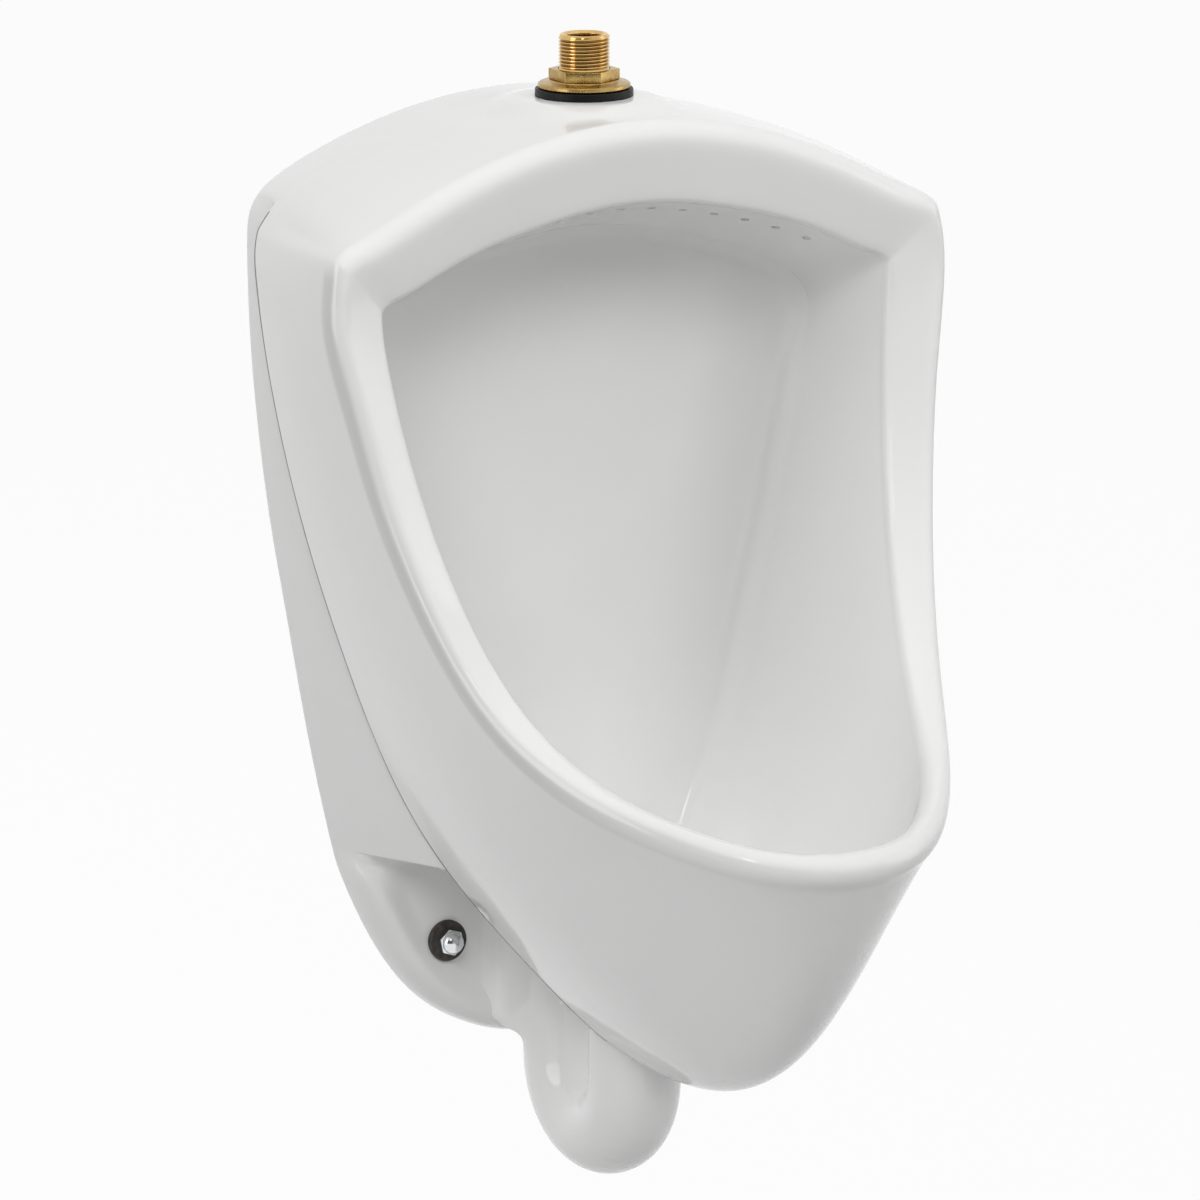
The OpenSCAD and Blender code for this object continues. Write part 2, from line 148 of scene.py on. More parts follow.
# white glaze on fired clay; scales are per metre, depths in metres
chinaGlaze = {
    "colour": (0.86, 0.86, 0.855), "roughness": 0.07, "ior": 1.52,
    "tones": ((0.868, 0.868, 0.862), (0.85, 0.85, 0.842)), "toneScale": 9.0,
    # painted shade tones: the hollow behind the lip, and the thin line along the skirt's rear edge
    "lipShadeTone": (0.68, 0.68, 0.675), "edgeShadeTone": (0.2, 0.195, 0.19),
    "clayTones": ((0.62, 0.57, 0.5), (0.78, 0.74, 0.68)), "clayScale": 900.0,
    "bareFrom": -0.0011, "bareFull": -0.0004, "bareRoughness": 0.8,
    "gloss": (0.05, 0.09), "glossScale": 30.0,
    "waveScale": 22.0, "waveStrength": 0.25, "waveDepth": 0.0012,
    "peelScale": 420.0, "peelStrength": 0.06, "peelDepth": 0.0002,
}


def makeGlazedChina(s):
    material, shader, place = newFinish("glazedChina", s["colour"], s["roughness"], ior=s["ior"])
    # faint pooling of the glaze, and bare fired clay where the piece meets the wall
    pool = noiseOf(place, s["toneScale"], 2.0, (1, 1, 0.45))
    tone = mixOf(rangeOf(pool, 0.35, 0.65), *s["tones"])
    depth = axesOf(place)["Y"]
    bare = rangeOf(depth, s["bareFrom"], s["bareFull"])
    clay = mixOf(noiseOf(place, s["clayScale"], 4.0), *s["clayTones"])
    # painted shade: darker in the hollow behind the lip and in a thin dark line along the skirt's rear edge
    for attribute, shade in (("paintedLipShade", s["lipShadeTone"]), ("paintedEdgeShade", s["edgeShadeTone"])):
        share = newNode(place, "Attribute")
        share.attribute_name = attribute
        tone = mixOf(share.outputs["Fac"], tone, shade)
    join(mixOf(bare, tone, clay), shader.inputs["Base Color"])
    gloss = rangeOf(noiseOf(place, s["glossScale"]), 0.3, 0.7, *s["gloss"])
    dull = rangeOf(bare, 0, 1, 0, s["bareRoughness"])
    join(greaterOf(gloss, dull), shader.inputs["Roughness"])
    # slow waviness of the poured glaze, with a fine peel over it
    wave = noiseOf(place, s["waveScale"], 2.0, (1, 1, 0.6))
    below = bumpOf(shader, wave, s["waveStrength"], s["waveDepth"])
    peel = noiseOf(place, s["peelScale"], 2.0)
    bumpOf(shader, peel, s["peelStrength"], s["peelDepth"], below)
    return material


turnedTube = {
    "light": (0.78, 0.54, 0.22), "dark": (0.60, 0.37, 0.12),
    "roughness": 0.14, "finer": 0.07, "coarser": 0.12,
    "grain": 300.0, "stretch": (1, 1, 14), "bump": 0.03, "stainScale": 120.0, "depth": 0.0004,
    # tarnish and painted shade in the grooves and down the bore, by the distance from the thread's axis;
    # above cleanAbove the tube is bright
    "grooveTarnishAndShade": (0.26, 0.145, 0.04), "axisY": -0.075, "root": 0.01225, "crest": 0.0128,
    "cleanAbove": 0.4793, "cleanWithin": 0.0006,
}
castFittings = {
    "light": (0.54, 0.37, 0.13), "dark": (0.33, 0.21, 0.07),
    "roughness": 0.24, "finer": 0.07, "coarser": 0.12,
    "grain": 700.0, "stretch": (1, 1, 1), "bump": 0.3, "stainScale": 120.0, "depth": 0.0004,
}


def makeBrass(name, s):
    material, shader, place = newFinish(name, s["light"], s["roughness"], 1.0)
    stain = noiseOf(place, s["stainScale"], 5.0, rough=0.6)
    tone = mixOf(rangeOf(stain, 0.35, 0.68), s["light"], s["dark"])
    if "grooveTarnishAndShade" in s:
        # tarnish and painted shade: darker inside the thread's root, in the grooves and the bore, except
        # near the top
        axes = axesOf(place)
        flat = newNode(place, "CombineXYZ")
        for axis in ("X", "Y"):
            join(axes[axis], flat.inputs[axis])
        reach = newNode(place, "VectorMath", {1: (0, s["axisY"], 0)})
        reach.operation = "DISTANCE"
        join(flat.outputs["Vector"], reach.inputs[0])
        crest = rangeOf(reach.outputs["Value"], s["root"], s["crest"])
        top = rangeOf(axes["Z"], s["cleanAbove"], s["cleanAbove"] + s["cleanWithin"])
        tone = mixOf(greaterOf(crest, top), s["grooveTarnishAndShade"], tone)
    join(tone, shader.inputs["Base Color"])
    fine = noiseOf(place, s["grain"], 4.0, s["stretch"], 0.65)
    rough = rangeOf(fine, 0.25, 0.75, s["roughness"] - s["finer"], s["roughness"] + s["coarser"])
    join(rough, shader.inputs["Roughness"])
    bumpOf(shader, fine, s["bump"], s["depth"])
    return material


rubber = {
    "black": 0.004, "grey": 0.035, "roughness": 0.42, "shine": 0.2,
    "bloomScale": 160.0, "bloomed": 1.9, "dullest": 0.55, "glossiest": 0.36,
    "grain": 1400.0, "bump": 0.2, "depth": 0.0002,
}


def makeRubber(name, tone, s):
    # a plain tone with a paler bloom and a fine grain
    material, shader, place = newFinish(name, (tone, tone, tone * 1.08), s["roughness"])
    shader.inputs["Specular IOR Level"].default_value = s["shine"]
    bloom = noiseOf(place, s["bloomScale"], 4.0)
    pale = tone * s["bloomed"]
    share = rangeOf(bloom, 0.4, 0.75)
    colour = mixOf(share, (tone, tone, tone * 1.1), (pale, pale, tone * 2.0))
    join(colour, shader.inputs["Base Color"])
    rough = rangeOf(bloom, 0.3, 0.7, s["glossiest"], s["dullest"])
    join(rough, shader.inputs["Roughness"])
    bumpOf(shader, noiseOf(place, s["grain"]), s["bump"], s["depth"])
    return material


steels = {
    "brightChrome": {
        "tone": (0.80, 0.81, 0.83), "roughness": 0.06, "spread": 0.05, "stretch": (1, 1, 1), "bump": 0.02,
    },
    "brushedStainless": {
        "tone": (0.66, 0.67, 0.68), "roughness": 0.2, "spread": 0.08, "stretch": (1, 1, 9), "bump": 0.1,
    },
    "zincPlated": {
        "tone": (0.60, 0.61, 0.63), "roughness": 0.32, "spread": 0.14, "stretch": (1, 1, 1), "bump": 0.14,
    },
}
steelGrain = {"scale": 700.0, "detail": 4.0, "rough": 0.6, "shade": 0.86, "depth": 0.0002}


def makeSteel(name):
    s, grain = steels[name], steelGrain
    material, shader, place = newFinish(name, s["tone"], s["roughness"], 1.0)
    lines = noiseOf(place, grain["scale"], grain["detail"], s["stretch"], grain["rough"])
    shade = tuple(c * grain["shade"] for c in s["tone"])
    join(mixOf(lines, s["tone"], shade), shader.inputs["Base Color"])
    rough = rangeOf(lines, 0.25, 0.75, s["roughness"], s["roughness"] + s["spread"])
    join(rough, shader.inputs["Roughness"])
    bumpOf(shader, lines, s["bump"], grain["depth"])
    return material


blackening = {
    "colour": (0.06, 0.056, 0.052), "tones": ((0.045, 0.043, 0.042), (0.1, 0.085, 0.07)),
    "roughness": (0.38, 0.6), "rustScale": 260.0, "bump": 0.25, "depth": 0.0003,
}


def makeDarkMetal(s):
    material, shader, place = newFinish("blackenedSteel", s["colour"], 0.5, 0.6)
    rust = noiseOf(place, s["rustScale"], 5.0)
    tone = mixOf(rangeOf(rust, 0.4, 0.7), *s["tones"])
    join(tone, shader.inputs["Base Color"])
    join(rangeOf(rust, 0.3, 0.7, *s["roughness"]), shader.inputs["Roughness"])
    bumpOf(shader, rust, s["bump"], s["depth"])
    return material


glazedChina = makeGlazedChina(chinaGlaze)
turnedBrass = makeBrass("turnedBrass", turnedTube)
castBrass = makeBrass("castBrass", castFittings)
blackRubber = makeRubber("blackRubber", rubber["black"], rubber)
greyRubber = makeRubber("greyRubber", rubber["grey"], rubber)
brightChrome = makeSteel("brightChrome")
brushedStainless = makeSteel("brushedStainless")
zincPlated = makeSteel("zincPlated")
blackenedSteel = makeDarkMetal(blackening)
print("finishes made")


# mesh helpers
mergeWithin = 1e-6  # points closer than this are one point


def toMetres(bm):
    bmesh.ops.scale(bm, vec=(mm, mm, mm), verts=bm.verts)


def edgesOf(verts):
    return list({e for v in verts for e in v.link_edges})


def bevelEdges(bm, edges, offset, segments=3):
    bmesh.ops.bevel(bm, geom=edges, offset=offset, affect="EDGES", segments=segments,
                    profile=0.5, material=-1)


def meshOf(name, bm):
    mesh = bpy.data.meshes.new(name)
    bm.to_mesh(mesh)
    bm.free()
    return mesh


def keepMesh(name, mesh, finish, node, sharp):
    mesh.set_sharp_from_angle(angle=math.radians(sharp))
    mesh.materials.clear()
    mesh.materials.append(finish)
    piece = addObject(name, mesh)
    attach(piece, "urinal")
    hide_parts(node)
    return piece


def keep(name, bm, finish, node, sharp=38):
    # a finished piece, drawn in millimetres
    toMetres(bm)
    bmesh.ops.remove_doubles(bm, verts=bm.verts, dist=mergeWithin)
    bmesh.ops.recalc_face_normals(bm, faces=bm.faces)
    for face in bm.faces:
        face.smooth = True
    return keepMesh(name, meshOf(name, bm), finish, node, sharp)


def scratch(name, bm):
    # a helper object that a cut uses up
    bmesh.ops.recalc_face_normals(bm, faces=bm.faces)
    return addObject(name, meshOf(name, bm))


def settle(piece):
    view = bpy.context.evaluated_depsgraph_get()
    mesh = bpy.data.meshes.new_from_object(piece.evaluated_get(view), depsgraph=view)
    piece.modifiers.clear()
    piece.data = mesh
    return mesh


def cutAway(piece, cutter):
    cut = piece.modifiers.new("cut", "BOOLEAN")
    cut.operation = "DIFFERENCE"
    cut.solver = "MANIFOLD"
    cut.object = cutter
    settle(piece)
    bpy.data.objects.remove(cutter)


def cutWith(piece, name, bm):
    toMetres(bm)
    cutAway(piece, scratch(name, bm))


def arcOf(first, last, step):
    # cosines and sines at even angles, in degrees
    turns = [math.radians(a) for a in range(first, last, step)]
    return [(math.cos(a), math.sin(a)) for a in turns]


def chain(bm, points, closed=False):
    verts = [bm.verts.new(p) for p in points]
    edges = [bm.edges.new(pair) for pair in zip(verts, verts[1:])]
    if closed:
        edges.append(bm.edges.new((verts[-1], verts[0])))
    return verts, edges


def lathe(bm, profile, centre, axis, steps=64):
    # profile: (radius, height) pairs round a closed section, turned about the axis
    axis = Vector(axis)
    side = Vector((1, 0, 0)) if abs(axis.x) < 0.5 else Vector((0, 0, 1))
    points = [Vector(centre) + side * r + axis * h for r, h in profile]
    onAxis = profile[0][0] < 1e-9
    verts, edges = chain(bm, points, not onAxis)
    bmesh.ops.spin(bm, geom=verts + edges, cent=centre, axis=axis, dvec=(0, 0, 0),
                   angle=2 * math.pi, steps=steps, use_merge=True, use_duplicate=False)


def rounded(corners, steps=4):
    # a closed section of (radius, height, round), with each corner rounded
    out = []
    for i, (x, y, r) in enumerate(corners):
        p = Vector((x, y))
        a, b = Vector(corners[i - 1][:2]), Vector(corners[(i + 1) % len(corners)][:2])
        toA, toB = (a - p).normalized(), (b - p).normalized()
        half = math.acos(max(-1, min(1, toA.dot(toB)))) / 2
        back = min(r / math.tan(half), 0.48 * (a - p).length, 0.48 * (b - p).length)
        r = back * math.tan(half)
        middle = p + (toA + toB).normalized() * (r / math.sin(half))
        first, last = p + toA * back - middle, p + toB * back - middle
        for k in range(steps + 1):
            out.append(tuple(middle + (first.lerp(last, k / steps)).normalized() * r))
    return out


# places that several pieces share, in millimetres from the wall and from the middle
inletY, drainY, boltX = -75, -127, 54.3

# china body: half sections of the casting in millimetres, from the top middle to the bottom middle
chinaBody = {
    # outline on the wall; the ears follow the eleventh station
    "wall": [(0, 0, 446), (55, 0, 440.5), (105, 0, 425.5), (140, 0, 409), (155, 0, 394), (157.5, 0, 372),
             (156.5, 0, 332), (153, 0, 287), (146, 0, 232), (136, 0, 177), (125, 0, 117), (110, 0, 51)],
    "ears": [(136, 0, 177), (130.9, 0, 147), (125, 0, 117), (118.1, 0, 84), (110, 0, 51), (105, 0, 36),
             (95.5, 0, 15), (81, 0, -11), (63, 0, -33), (45, 0, -45.5), (24, 0, -55.5), (0, 0, -59)],
    # back end of the bowl's underside, from the ledge to the middle
    "ledge": [(110, 0, 51), (58, 0, 53), (0, 0, 53)],
    "recess": [(0, -32, 447.3), (56, -32, 441.2), (108, -32, 426.5), (144, -33, 408), (156, -44, 390),
               (155, -64, 370), (152, -70, 332), (144, -70, 282), (134, -70, 227), (121, -70, 170),
               (105, -70, 110), (79.5, -80, 52.5), (40.5, -97, 3), (0, -102, -20)],
    "edge": [(0, -36, 447.5), (57, -36, 441.5), (110, -36, 427), (149, -36, 409.5), (171.3, -40, 389.5),
             (179, -52, 368), (176, -55, 332), (165.5, -55, 279), (150, -55.5, 221), (131, -56, 165),
             (110, -60, 109), (84, -76, 54), (46, -110, -3), (0, -148, -46)],
    "rimOut": [(0, -140, 443), (61, -140, 435.5), (117, -140, 416), (157, -140, 396.5), (175.4, -140.8, 387),
               (179.5, -141.5, 359), (172, -148, 320), (163, -158, 273), (151, -177, 223), (136, -208, 173),
               (114, -253, 138), (85, -302, 118), (48, -341, 106.5), (0, -356, 103.5)],
    "rimIn": [(0, -132, 401), (57, -132, 393.5), (104, -131.5, 379), (135, -131.5, 364.5),
              (147.2, -131.5, 357), (144.5, -134, 330), (139.5, -141, 295), (132, -155.6, 250),
              (122.5, -179, 204), (110, -213, 164), (92, -258, 136), (68, -299, 122), (37, -328, 113),
              (0, -336, 110)],
    "bowlBack": [(0, -60, 378), (52, -60, 371), (97, -60, 358), (127, -58.5, 342), (137, -58, 326),
                 (136, -57, 304), (129, -57, 270), (119, -57, 226), (108, -57, 179), (95, -58, 128),
                 (78, -61, 82), (54, -70, 40), (26, -84, 10), (0, -92, -2)],
    "hollow": [(0, 0, 428), (50, 0, 423), (94, 0, 409), (122, 0, 393), (134, 0, 379), (137, 0, 360),
               (136, 0, 328), (132, 0, 285), (125, 0, 230), (116, 0, 176), (105, 0, 118), (88, 0, 68),
               (48, 0, 64), (0, 0, 64)],
    # where the skirt and the bowl's floor are pulled to at the bottom middle
    "skirtPull": [(0, -325, 37), (0, -285, -62)],
    "bowlPull": [(0, -338, 10), (0, -200, -48)],
    # height and depth of the bowl's back; depth of the hollow behind it, shallower above the bar
    "spine": [(-2, -92), (10, -84), (40, -70), (82, -61), (130, -58)],
    "backFloor": -44, "backRise": 10, "riseFrom": 290, "riseOver": 60, "backRound": (11, 3.2),
    # where the sections meet on the middle lines of the back and of the bowl: top, and total fall
    "backMiddle": (392, 292), "bowlMiddle": (352, 312),
    # the rim's two rounds, and how many degrees the lip rolls past its side
    "outerRound": 8, "innerRound": 6, "rimRoll": 44,
    "creaseRound": 13, "creaseWider": 13, "cornerPull": 0.42, "stepIn": 12, "straighten": 30,
    # ear: shares of the way in above it, and its dish as distance in from the border and depth
    "sideShares": [0.04, 0.1, 0.17, 0.24, 0.31, 0.39, 0.47, 0.56, 0.65, 0.73, 0.82, 0.9],
    "earShares": [0.2, 0.38, 0.52, 0.64, 0.74, 0.82, 0.89, 0.95],
    "earDish": [(0.2, -7), (1.2, -15), (3.8, -22), (8.5, -26.6), (13.5, -27), (19, -25.4)],
    "earRoom": 36, "earCorner": 7, "earReach": 0.165, "earFace": -24,
    "underShares": (0, 0.04, 0.3, 0.62),  # way along the underside, in front of the ear's face
    # stations at which the sections are sampled; close together at the corner and round the ledge
    "stations": [0, 0.4, 0.8, 1.2, 1.6, 2, 2.35, 2.7, 3, 3.2, 3.4, 3.6, 3.75, 3.88, 4, 4.12, 4.28, 4.5,
                 4.8, 5.1, 5.5, 6, 6.5, 7, 7.5, 8, 8.4, 8.8, 9.2, 9.6, 10, 10.3, 10.6, 10.85, 10.97, 11,
                 11.03, 11.12, 11.25, 11.4, 11.58, 11.78, 12, 12.25, 12.5, 12.75, 13],
    "skirtLoops": 9, "bowlLoops": 8, "fairing": 3, "holdFrom": 8.5, "smoothLevels": 2,
    # two loops close to the skirt's sharp rear edge, and one close to the rim on each side
    "edgeLoops": (0.9, 4.0), "rimLoop": 4.0,
    "padY": inletY, "padAcross": 62, "padTop": 450.05, "padFade": 22, "deckFrom": 425,
    # painted shade along the skirt's rear edge and in the hollow behind the lip: full up to the first
    # distance from the line, none past the second
    "paintedEdgeShade": (0.6, 1.1), "paintedLipShade": (2.4, 6.5),
}
cornerStation, earStation, lastStation = 4, 11, 13
midRound = 0.293  # where the middle of a quarter round lies, from its corner to its ends

# the station at which each change begins, and over how many stations it grows to its full share
changes = {
    "roll": (3.8, 0.9), "offDeck": (3.35, 0.35), "skirtLow": (8, 5), "bowlLow": (7, 6), "asDrawn": (7, 2),
    "stepIn": (11, 0.2), "stepOut": (11.9, 1.1), "crowdForward": (9.6, 1.3), "earCorner": (11, 0.5),
    # the last two: where the painted shade behind the lip grows in and fades out
    "earDish": (11, 0.42), "creaseWider": (11, 1.4), "lipShadeGrows": (4.05, 0.4), "lipShadeFades": (9, 2.5),
}


def flip(p):
    return Vector((-p.x, p.y, p.z))


def fairCurve(rows, openStart=False, openEnd=False):
    # control points of an even cubic curve through the rows, mirrored past each end that isn't open
    points = [Vector(row) for row in rows]
    control = [p.copy() for p in points]

    def ends():
        first = 2 * control[0] - control[1] if openStart else flip(control[1])
        last = 2 * control[-1] - control[-2] if openEnd else flip(control[-2])
        return first, last

    for _ in range(40):
        first, last = ends()
        before, after = [first] + control[:-1], control[1:] + [last]
        control = [(6 * p - a - b) / 4 for p, a, b in zip(points, before, after)]
    first, last = ends()
    return [first, *control, last]


def along(curve, v):
    # v counts rows from the first
    spans = len(curve) - 3
    mirrored = v < 0 or v > spans
    v = -v if v < 0 else 2 * spans - v if v > spans else v
    i = min(int(v), spans - 1)
    f = v - i
    a, b, c, d = curve[i:i + 4]
    p = (a * (1 - f) ** 3 + b * (3 * f ** 3 - 6 * f * f + 4)
         + c * (3 * f + 3 * f * f - 3 * f ** 3 + 1) + d * f ** 3) / 6
    return flip(p) if mirrored else p


wholeCurves = ("recess", "edge", "rimOut", "rimIn", "bowlBack", "hollow")
curves = {key: fairCurve(chinaBody[key]) for key in wholeCurves}
curves["wall"] = fairCurve(chinaBody["wall"], openEnd=True)
curves["ears"] = fairCurve(chinaBody["ears"], openStart=True)


def clamp(v):
    return max(0.0, min(1.0, v))


def ease(v):
    return clamp(v) ** 2 * (3 - 2 * clamp(v))


def change(v, name):
    start, width = changes[name]
    return ease((v - start) / width)


def lowAt(v):
    # grows from none at the sides to one at the bottom middle
    return change(v, "skirtLow")


def deckAt(v):
    # one on the deck, none on the sides
    return clamp((4.5 - v) / 1.5)


def wallPoint(v):
    # the rows of the ears lie closer together than the stations
    if v <= earStation - 1:
        return along(curves["wall"], v)
    if v < earStation:
        return along(curves["ears"], 2 + 2 * (v - 10))
    return along(curves["ears"], 4 + 3.5 * (v - earStation))


def cornered(key, v):
    # the curve, drawn a little tighter into the hood's corner
    p = along(curves[key], v)
    off = abs(v - cornerStation)
    if off >= 1:
        return p
    beside = cornerStation + (-1 if v < cornerStation else 1)
    straight = Vector(chinaBody[key][cornerStation]).lerp(along(curves[key], beside), off)
    return p.lerp(straight, chinaBody["cornerPull"] * (1 - ease(off)))


def runOf(key, v, step=0.05):
    # the way that the curve runs at a station
    return cornered(key, v + step) - cornered(key, v - step)


def recessPoint(v):
    # below the ledge the recess steps in behind the skirt
    p = along(curves["recess"], v)
    share = change(v, "stepIn") * (1 - change(v, "stepOut"))
    p.x = max(0, p.x - chinaBody["stepIn"] * share)
    return p


def rimFrame(v):
    out, inner = cornered("rimOut", v), cornered("rimIn", v)
    across = (inner - out).normalized()
    face = across.cross(runOf("rimOut", v)).normalized()
    return out, inner, across, face


def onRound(corner, across, face, r, angle):
    # from the side of the rim, 0, to its face, 90
    a = math.radians(angle)
    return corner + (across * (1 - math.cos(a)) - face * (1 - math.sin(a))) * r


def rimOuter(v, angle):
    out, _, across, face = rimFrame(v)
    return onRound(out, across, face, chinaBody["outerRound"] + 3 * deckAt(v) + lowAt(v), angle)


def rimInner(v, angle):
    _, inner, across, face = rimFrame(v)
    return onRound(inner, -across, face, chinaBody["innerRound"] + 3 * lowAt(v) - deckAt(v), angle)


def bend(a, b, c, d, t):
    return a * (1 - t) ** 3 + b * (3 * t * (1 - t) ** 2) + c * (3 * t * t * (1 - t)) + d * t ** 3


def rollAt(v):
    # the lip rolls a little past its side, except on the deck
    return -chinaBody["rimRoll"] * change(v, "roll")


def skirtPoint(v, t):
    # t runs from the lip, 0, to the sharp rear edge, 1
    s = chinaBody
    a, d = rimOuter(v, rollAt(v)), cornered("edge", v)
    low = lowAt(v)
    side = clamp(v - 3) * clamp(along(curves["rimOut"], v).x / 60)
    lip, keel = Vector(s["rimOut"][-1]), Vector(s["edge"][-1])
    upper, lower = (Vector(p) for p in s["skirtPull"])
    b = a.lerp(d, 0.3) + (upper - lip.lerp(keel, 0.3)) * low + Vector(((3 - 2.8 * low) * side, 0, 0))
    c = a.lerp(d, 0.7) + (lower - lip.lerp(keel, 0.7)) * low + Vector(((3 + 2.7 * low) * side, 0, 0))
    p = bend(a, b, c, d, t)
    # straighter into the rear edge
    p.x -= s["straighten"] * low * side * (1 - t) * ease((t - 0.6) / 0.4)
    return p


def bowlPoint(v, t):
    # t runs from the rim, 0, to the crease at the bowl's back, 1
    s = chinaBody
    a, d = rimInner(v, 0), along(curves["bowlBack"], v)
    low = change(v, "bowlLow")
    hump = 4 * low * (1 - low)
    lip, sump = rimInner(lastStation, 0), Vector(s["bowlBack"][-1])
    upper, lower = (Vector(p) for p in s["bowlPull"])
    b = a.lerp(d, 0.33) + (upper - lip.lerp(sump, 0.33)) * low + Vector((0, 0, 4 * hump))
    c = a.lerp(d, 0.67) + (lower - lip.lerp(sump, 0.67)) * low
    c += Vector((-3 * hump * clamp(along(curves["rimOut"], v).x / 40), 0, 12 * hump))
    return bend(a, b, c, d, t)


def spineDepth(z):
    spine = chinaBody["spine"]
    for (z0, y0), (z1, y1) in zip(spine, spine[1:]):
        if z <= z1:
            return y0 + (y1 - y0) * clamp((z - z0) / (z1 - z0))
    return y1


def backPoints(v, wall):
    # from the middle of the hollow back to the outer edge on the wall
    s = chinaBody
    hollow = along(curves["hollow"], v)
    hollow.y = 0
    out = (wall - hollow).normalized()
    deep = s["backFloor"] + s["backRise"] * ease((hollow.z - s["riseFrom"]) / s["riseOver"])
    top, fall = s["backMiddle"]
    spine = Vector((0, deep, top - fall * v / lastStation))
    foot = Vector((hollow.x, deep, hollow.z))
    inward = (spine - foot).normalized()
    r, cut = s["backRound"]
    points = [spine, foot.lerp(spine, 0.4), foot + inward * r]
    points += [foot + inward * cut + Vector((0, cut, 0)), foot + Vector((0, r, 0))]
    # the small rounds on both sides of the face that stands against the wall
    points += [Vector((hollow.x, -4.5, hollow.z)), hollow + out * 0.65 + Vector((0, -0.65, 0))]
    points += [hollow + out * 2.2]
    points += [hollow.lerp(wall, 0.5), wall - out * 2.8, wall - out * 0.8 + Vector((0, -0.8, 0))]
    return points


def sidePoints(v, wall, recess):
    # from the wall forward to the recess behind the skirt; below the ledge this is the dished ear
    s = chinaBody
    past = v - earStation
    start, share = wall, s["earReach"]
    if past > 0:
        # the underside runs level from the wall and then drops to the recess behind the skirt
        rows = [Vector(row) for row in s["ledge"]]
        start = rows[0].lerp(rows[1], past) if past < 1 else rows[1].lerp(rows[2], past - 1)
        level, drop = start.lerp(recess, 0.42), start.lerp(recess, 0.86)
        level.z = start.z + (recess.z - start.z) * 0.06
        drop.z = start.z + (recess.z - start.z) * 0.5
        share = 0.0
        while bend(start, level, drop, recess, share).y > s["earFace"] and share < 0.9:
            share += 0.005
        under = [bend(start, level, drop, recess, share + (1 - share) * k) for k in s["underShares"]]
    tight = [share * k for k in s["earShares"]] + [share, share + 0.07, 0.5, 0.8]
    if past <= 0:
        crowd = change(v, "crowdForward")
        return [start.lerp(recess, a + (b - a) * crowd) for a, b in zip(s["sideShares"], tight)]
    corner = under[0]
    flat = Vector((corner.x - wall.x, 0, corner.z - wall.z))
    inward = flat.normalized()
    k = min(1.0, flat.length / s["earRoom"])
    border = s["earDish"] + [(25, corner.y + 0.3), (29, corner.y)]
    dish = [wall + inward * (off * k) + Vector((0, y, 0)) for off, y in border]
    r = s["earCorner"] * change(v, "earCorner")
    dish.append(corner - inward * r)
    up = (under[1] - under[0]).normalized()
    dish.append(corner + (up - inward) * r * midRound + up * 0.5)
    dish += [under[2].lerp(corner + up * (r + 3), 0.5), under[3]]
    # the dish grows out of the plain side above it
    top, topRecess = wallPoint(earStation), along(curves["recess"], earStation)
    calm = [top.lerp(topRecess, share) + (wall - top) for share in tight[:8]]
    return [a.lerp(b, change(v, "earDish")) for a, b in zip(calm, dish)] + dish[8:]


def profileAt(v):
    # one line of points from the middle of the hollow back, round the rim, to the middle of the bowl
    s = chinaBody
    wall, recess, edge = wallPoint(v), recessPoint(v), cornered("edge", v)
    points = backPoints(v, wall)
    start = len(points)
    side = sidePoints(v, wall, recess)
    points += [wall + (side[0] - wall).normalized() * 2.4] + side
    # the recess behind the skirt, up to the sharp rear edge
    step = edge - recess
    near = min(0.9, 0.3 * step.length)
    back = (recess - side[-1]).normalized()
    square = runOf("edge", v).cross(skirtPoint(v, 0.97) - edge).normalized()
    square = square if square.dot(step) > 0 else -square
    inward = (square * 0.8 - step.normalized() * 0.2).normalized()
    points += [recess - back * 2.5, recess + step.normalized() * near, edge + inward * near, edge]
    # the skirt, from the edge to the lip
    marks = {"skirt": len(points) + 2}
    lip = rimOuter(v, 0)
    length = (lip - edge).length
    points += [skirtPoint(v, 1 - distance / length) for distance in s["edgeLoops"]]
    points += [skirtPoint(v, 1 - k / s["skirtLoops"]) for k in range(1, s["skirtLoops"])]
    points.append(skirtPoint(v, s["rimLoop"] / length))
    marks["lip"] = len(points)
    # on the deck the top runs smoothly to the wall, and the recess begins at the corner
    plain = 1 - change(v, "offDeck")
    for j in range(start, len(points)):
        y = points[j].y
        share = [(y - b.y) * (y - c.y) / ((a.y - b.y) * (a.y - c.y))
                 for a, b, c in ((wall, edge, lip), (edge, wall, lip), (lip, wall, edge))]
        deck = wall * share[0] + edge * share[1] + lip * share[2]
        deck.y = y
        points[j] = points[j].lerp(deck, plain)
    # the rim, over its two rounds
    roll = rollAt(v)
    points += [rimOuter(v, a) for a in (roll, roll * 0.4 + 8, 32, 62, 90)]
    a, b = rimOuter(v, 90), rimInner(v, 90)
    points += [a.lerp(b, 0.34), a.lerp(b, 0.67)]
    points += [rimInner(v, a) for a in (90, 60, 30, 0)]
    # the bowl, down to the rounded crease at its back, and the back itself
    corner = along(curves["bowlBack"], v)
    length = (rimInner(v, 0) - corner).length
    points.append(bowlPoint(v, s["rimLoop"] / length))
    marks["bowl"] = len(points)
    points += [bowlPoint(v, k / s["bowlLoops"]) for k in range(1, s["bowlLoops"])]
    marks["crease"] = len(points)
    top, fall = s["bowlMiddle"]
    middle = Vector((0, 0, top - fall * v / lastStation))
    middle.y = spineDepth(middle.z)
    r = s["creaseRound"] + s["creaseWider"] * change(v, "creaseWider")
    before = (bowlPoint(v, 0.97) - corner).normalized() * r
    after = (middle - corner).normalized() * r
    points += [corner + before, corner + (before + after) * midRound, corner + after]
    points += [(corner + after).lerp(middle, k) for k in (0.35, 0.7)] + [middle]
    return points, marks


def copyOf(grid):
    return [[p.copy() for p in row] for row in grid]


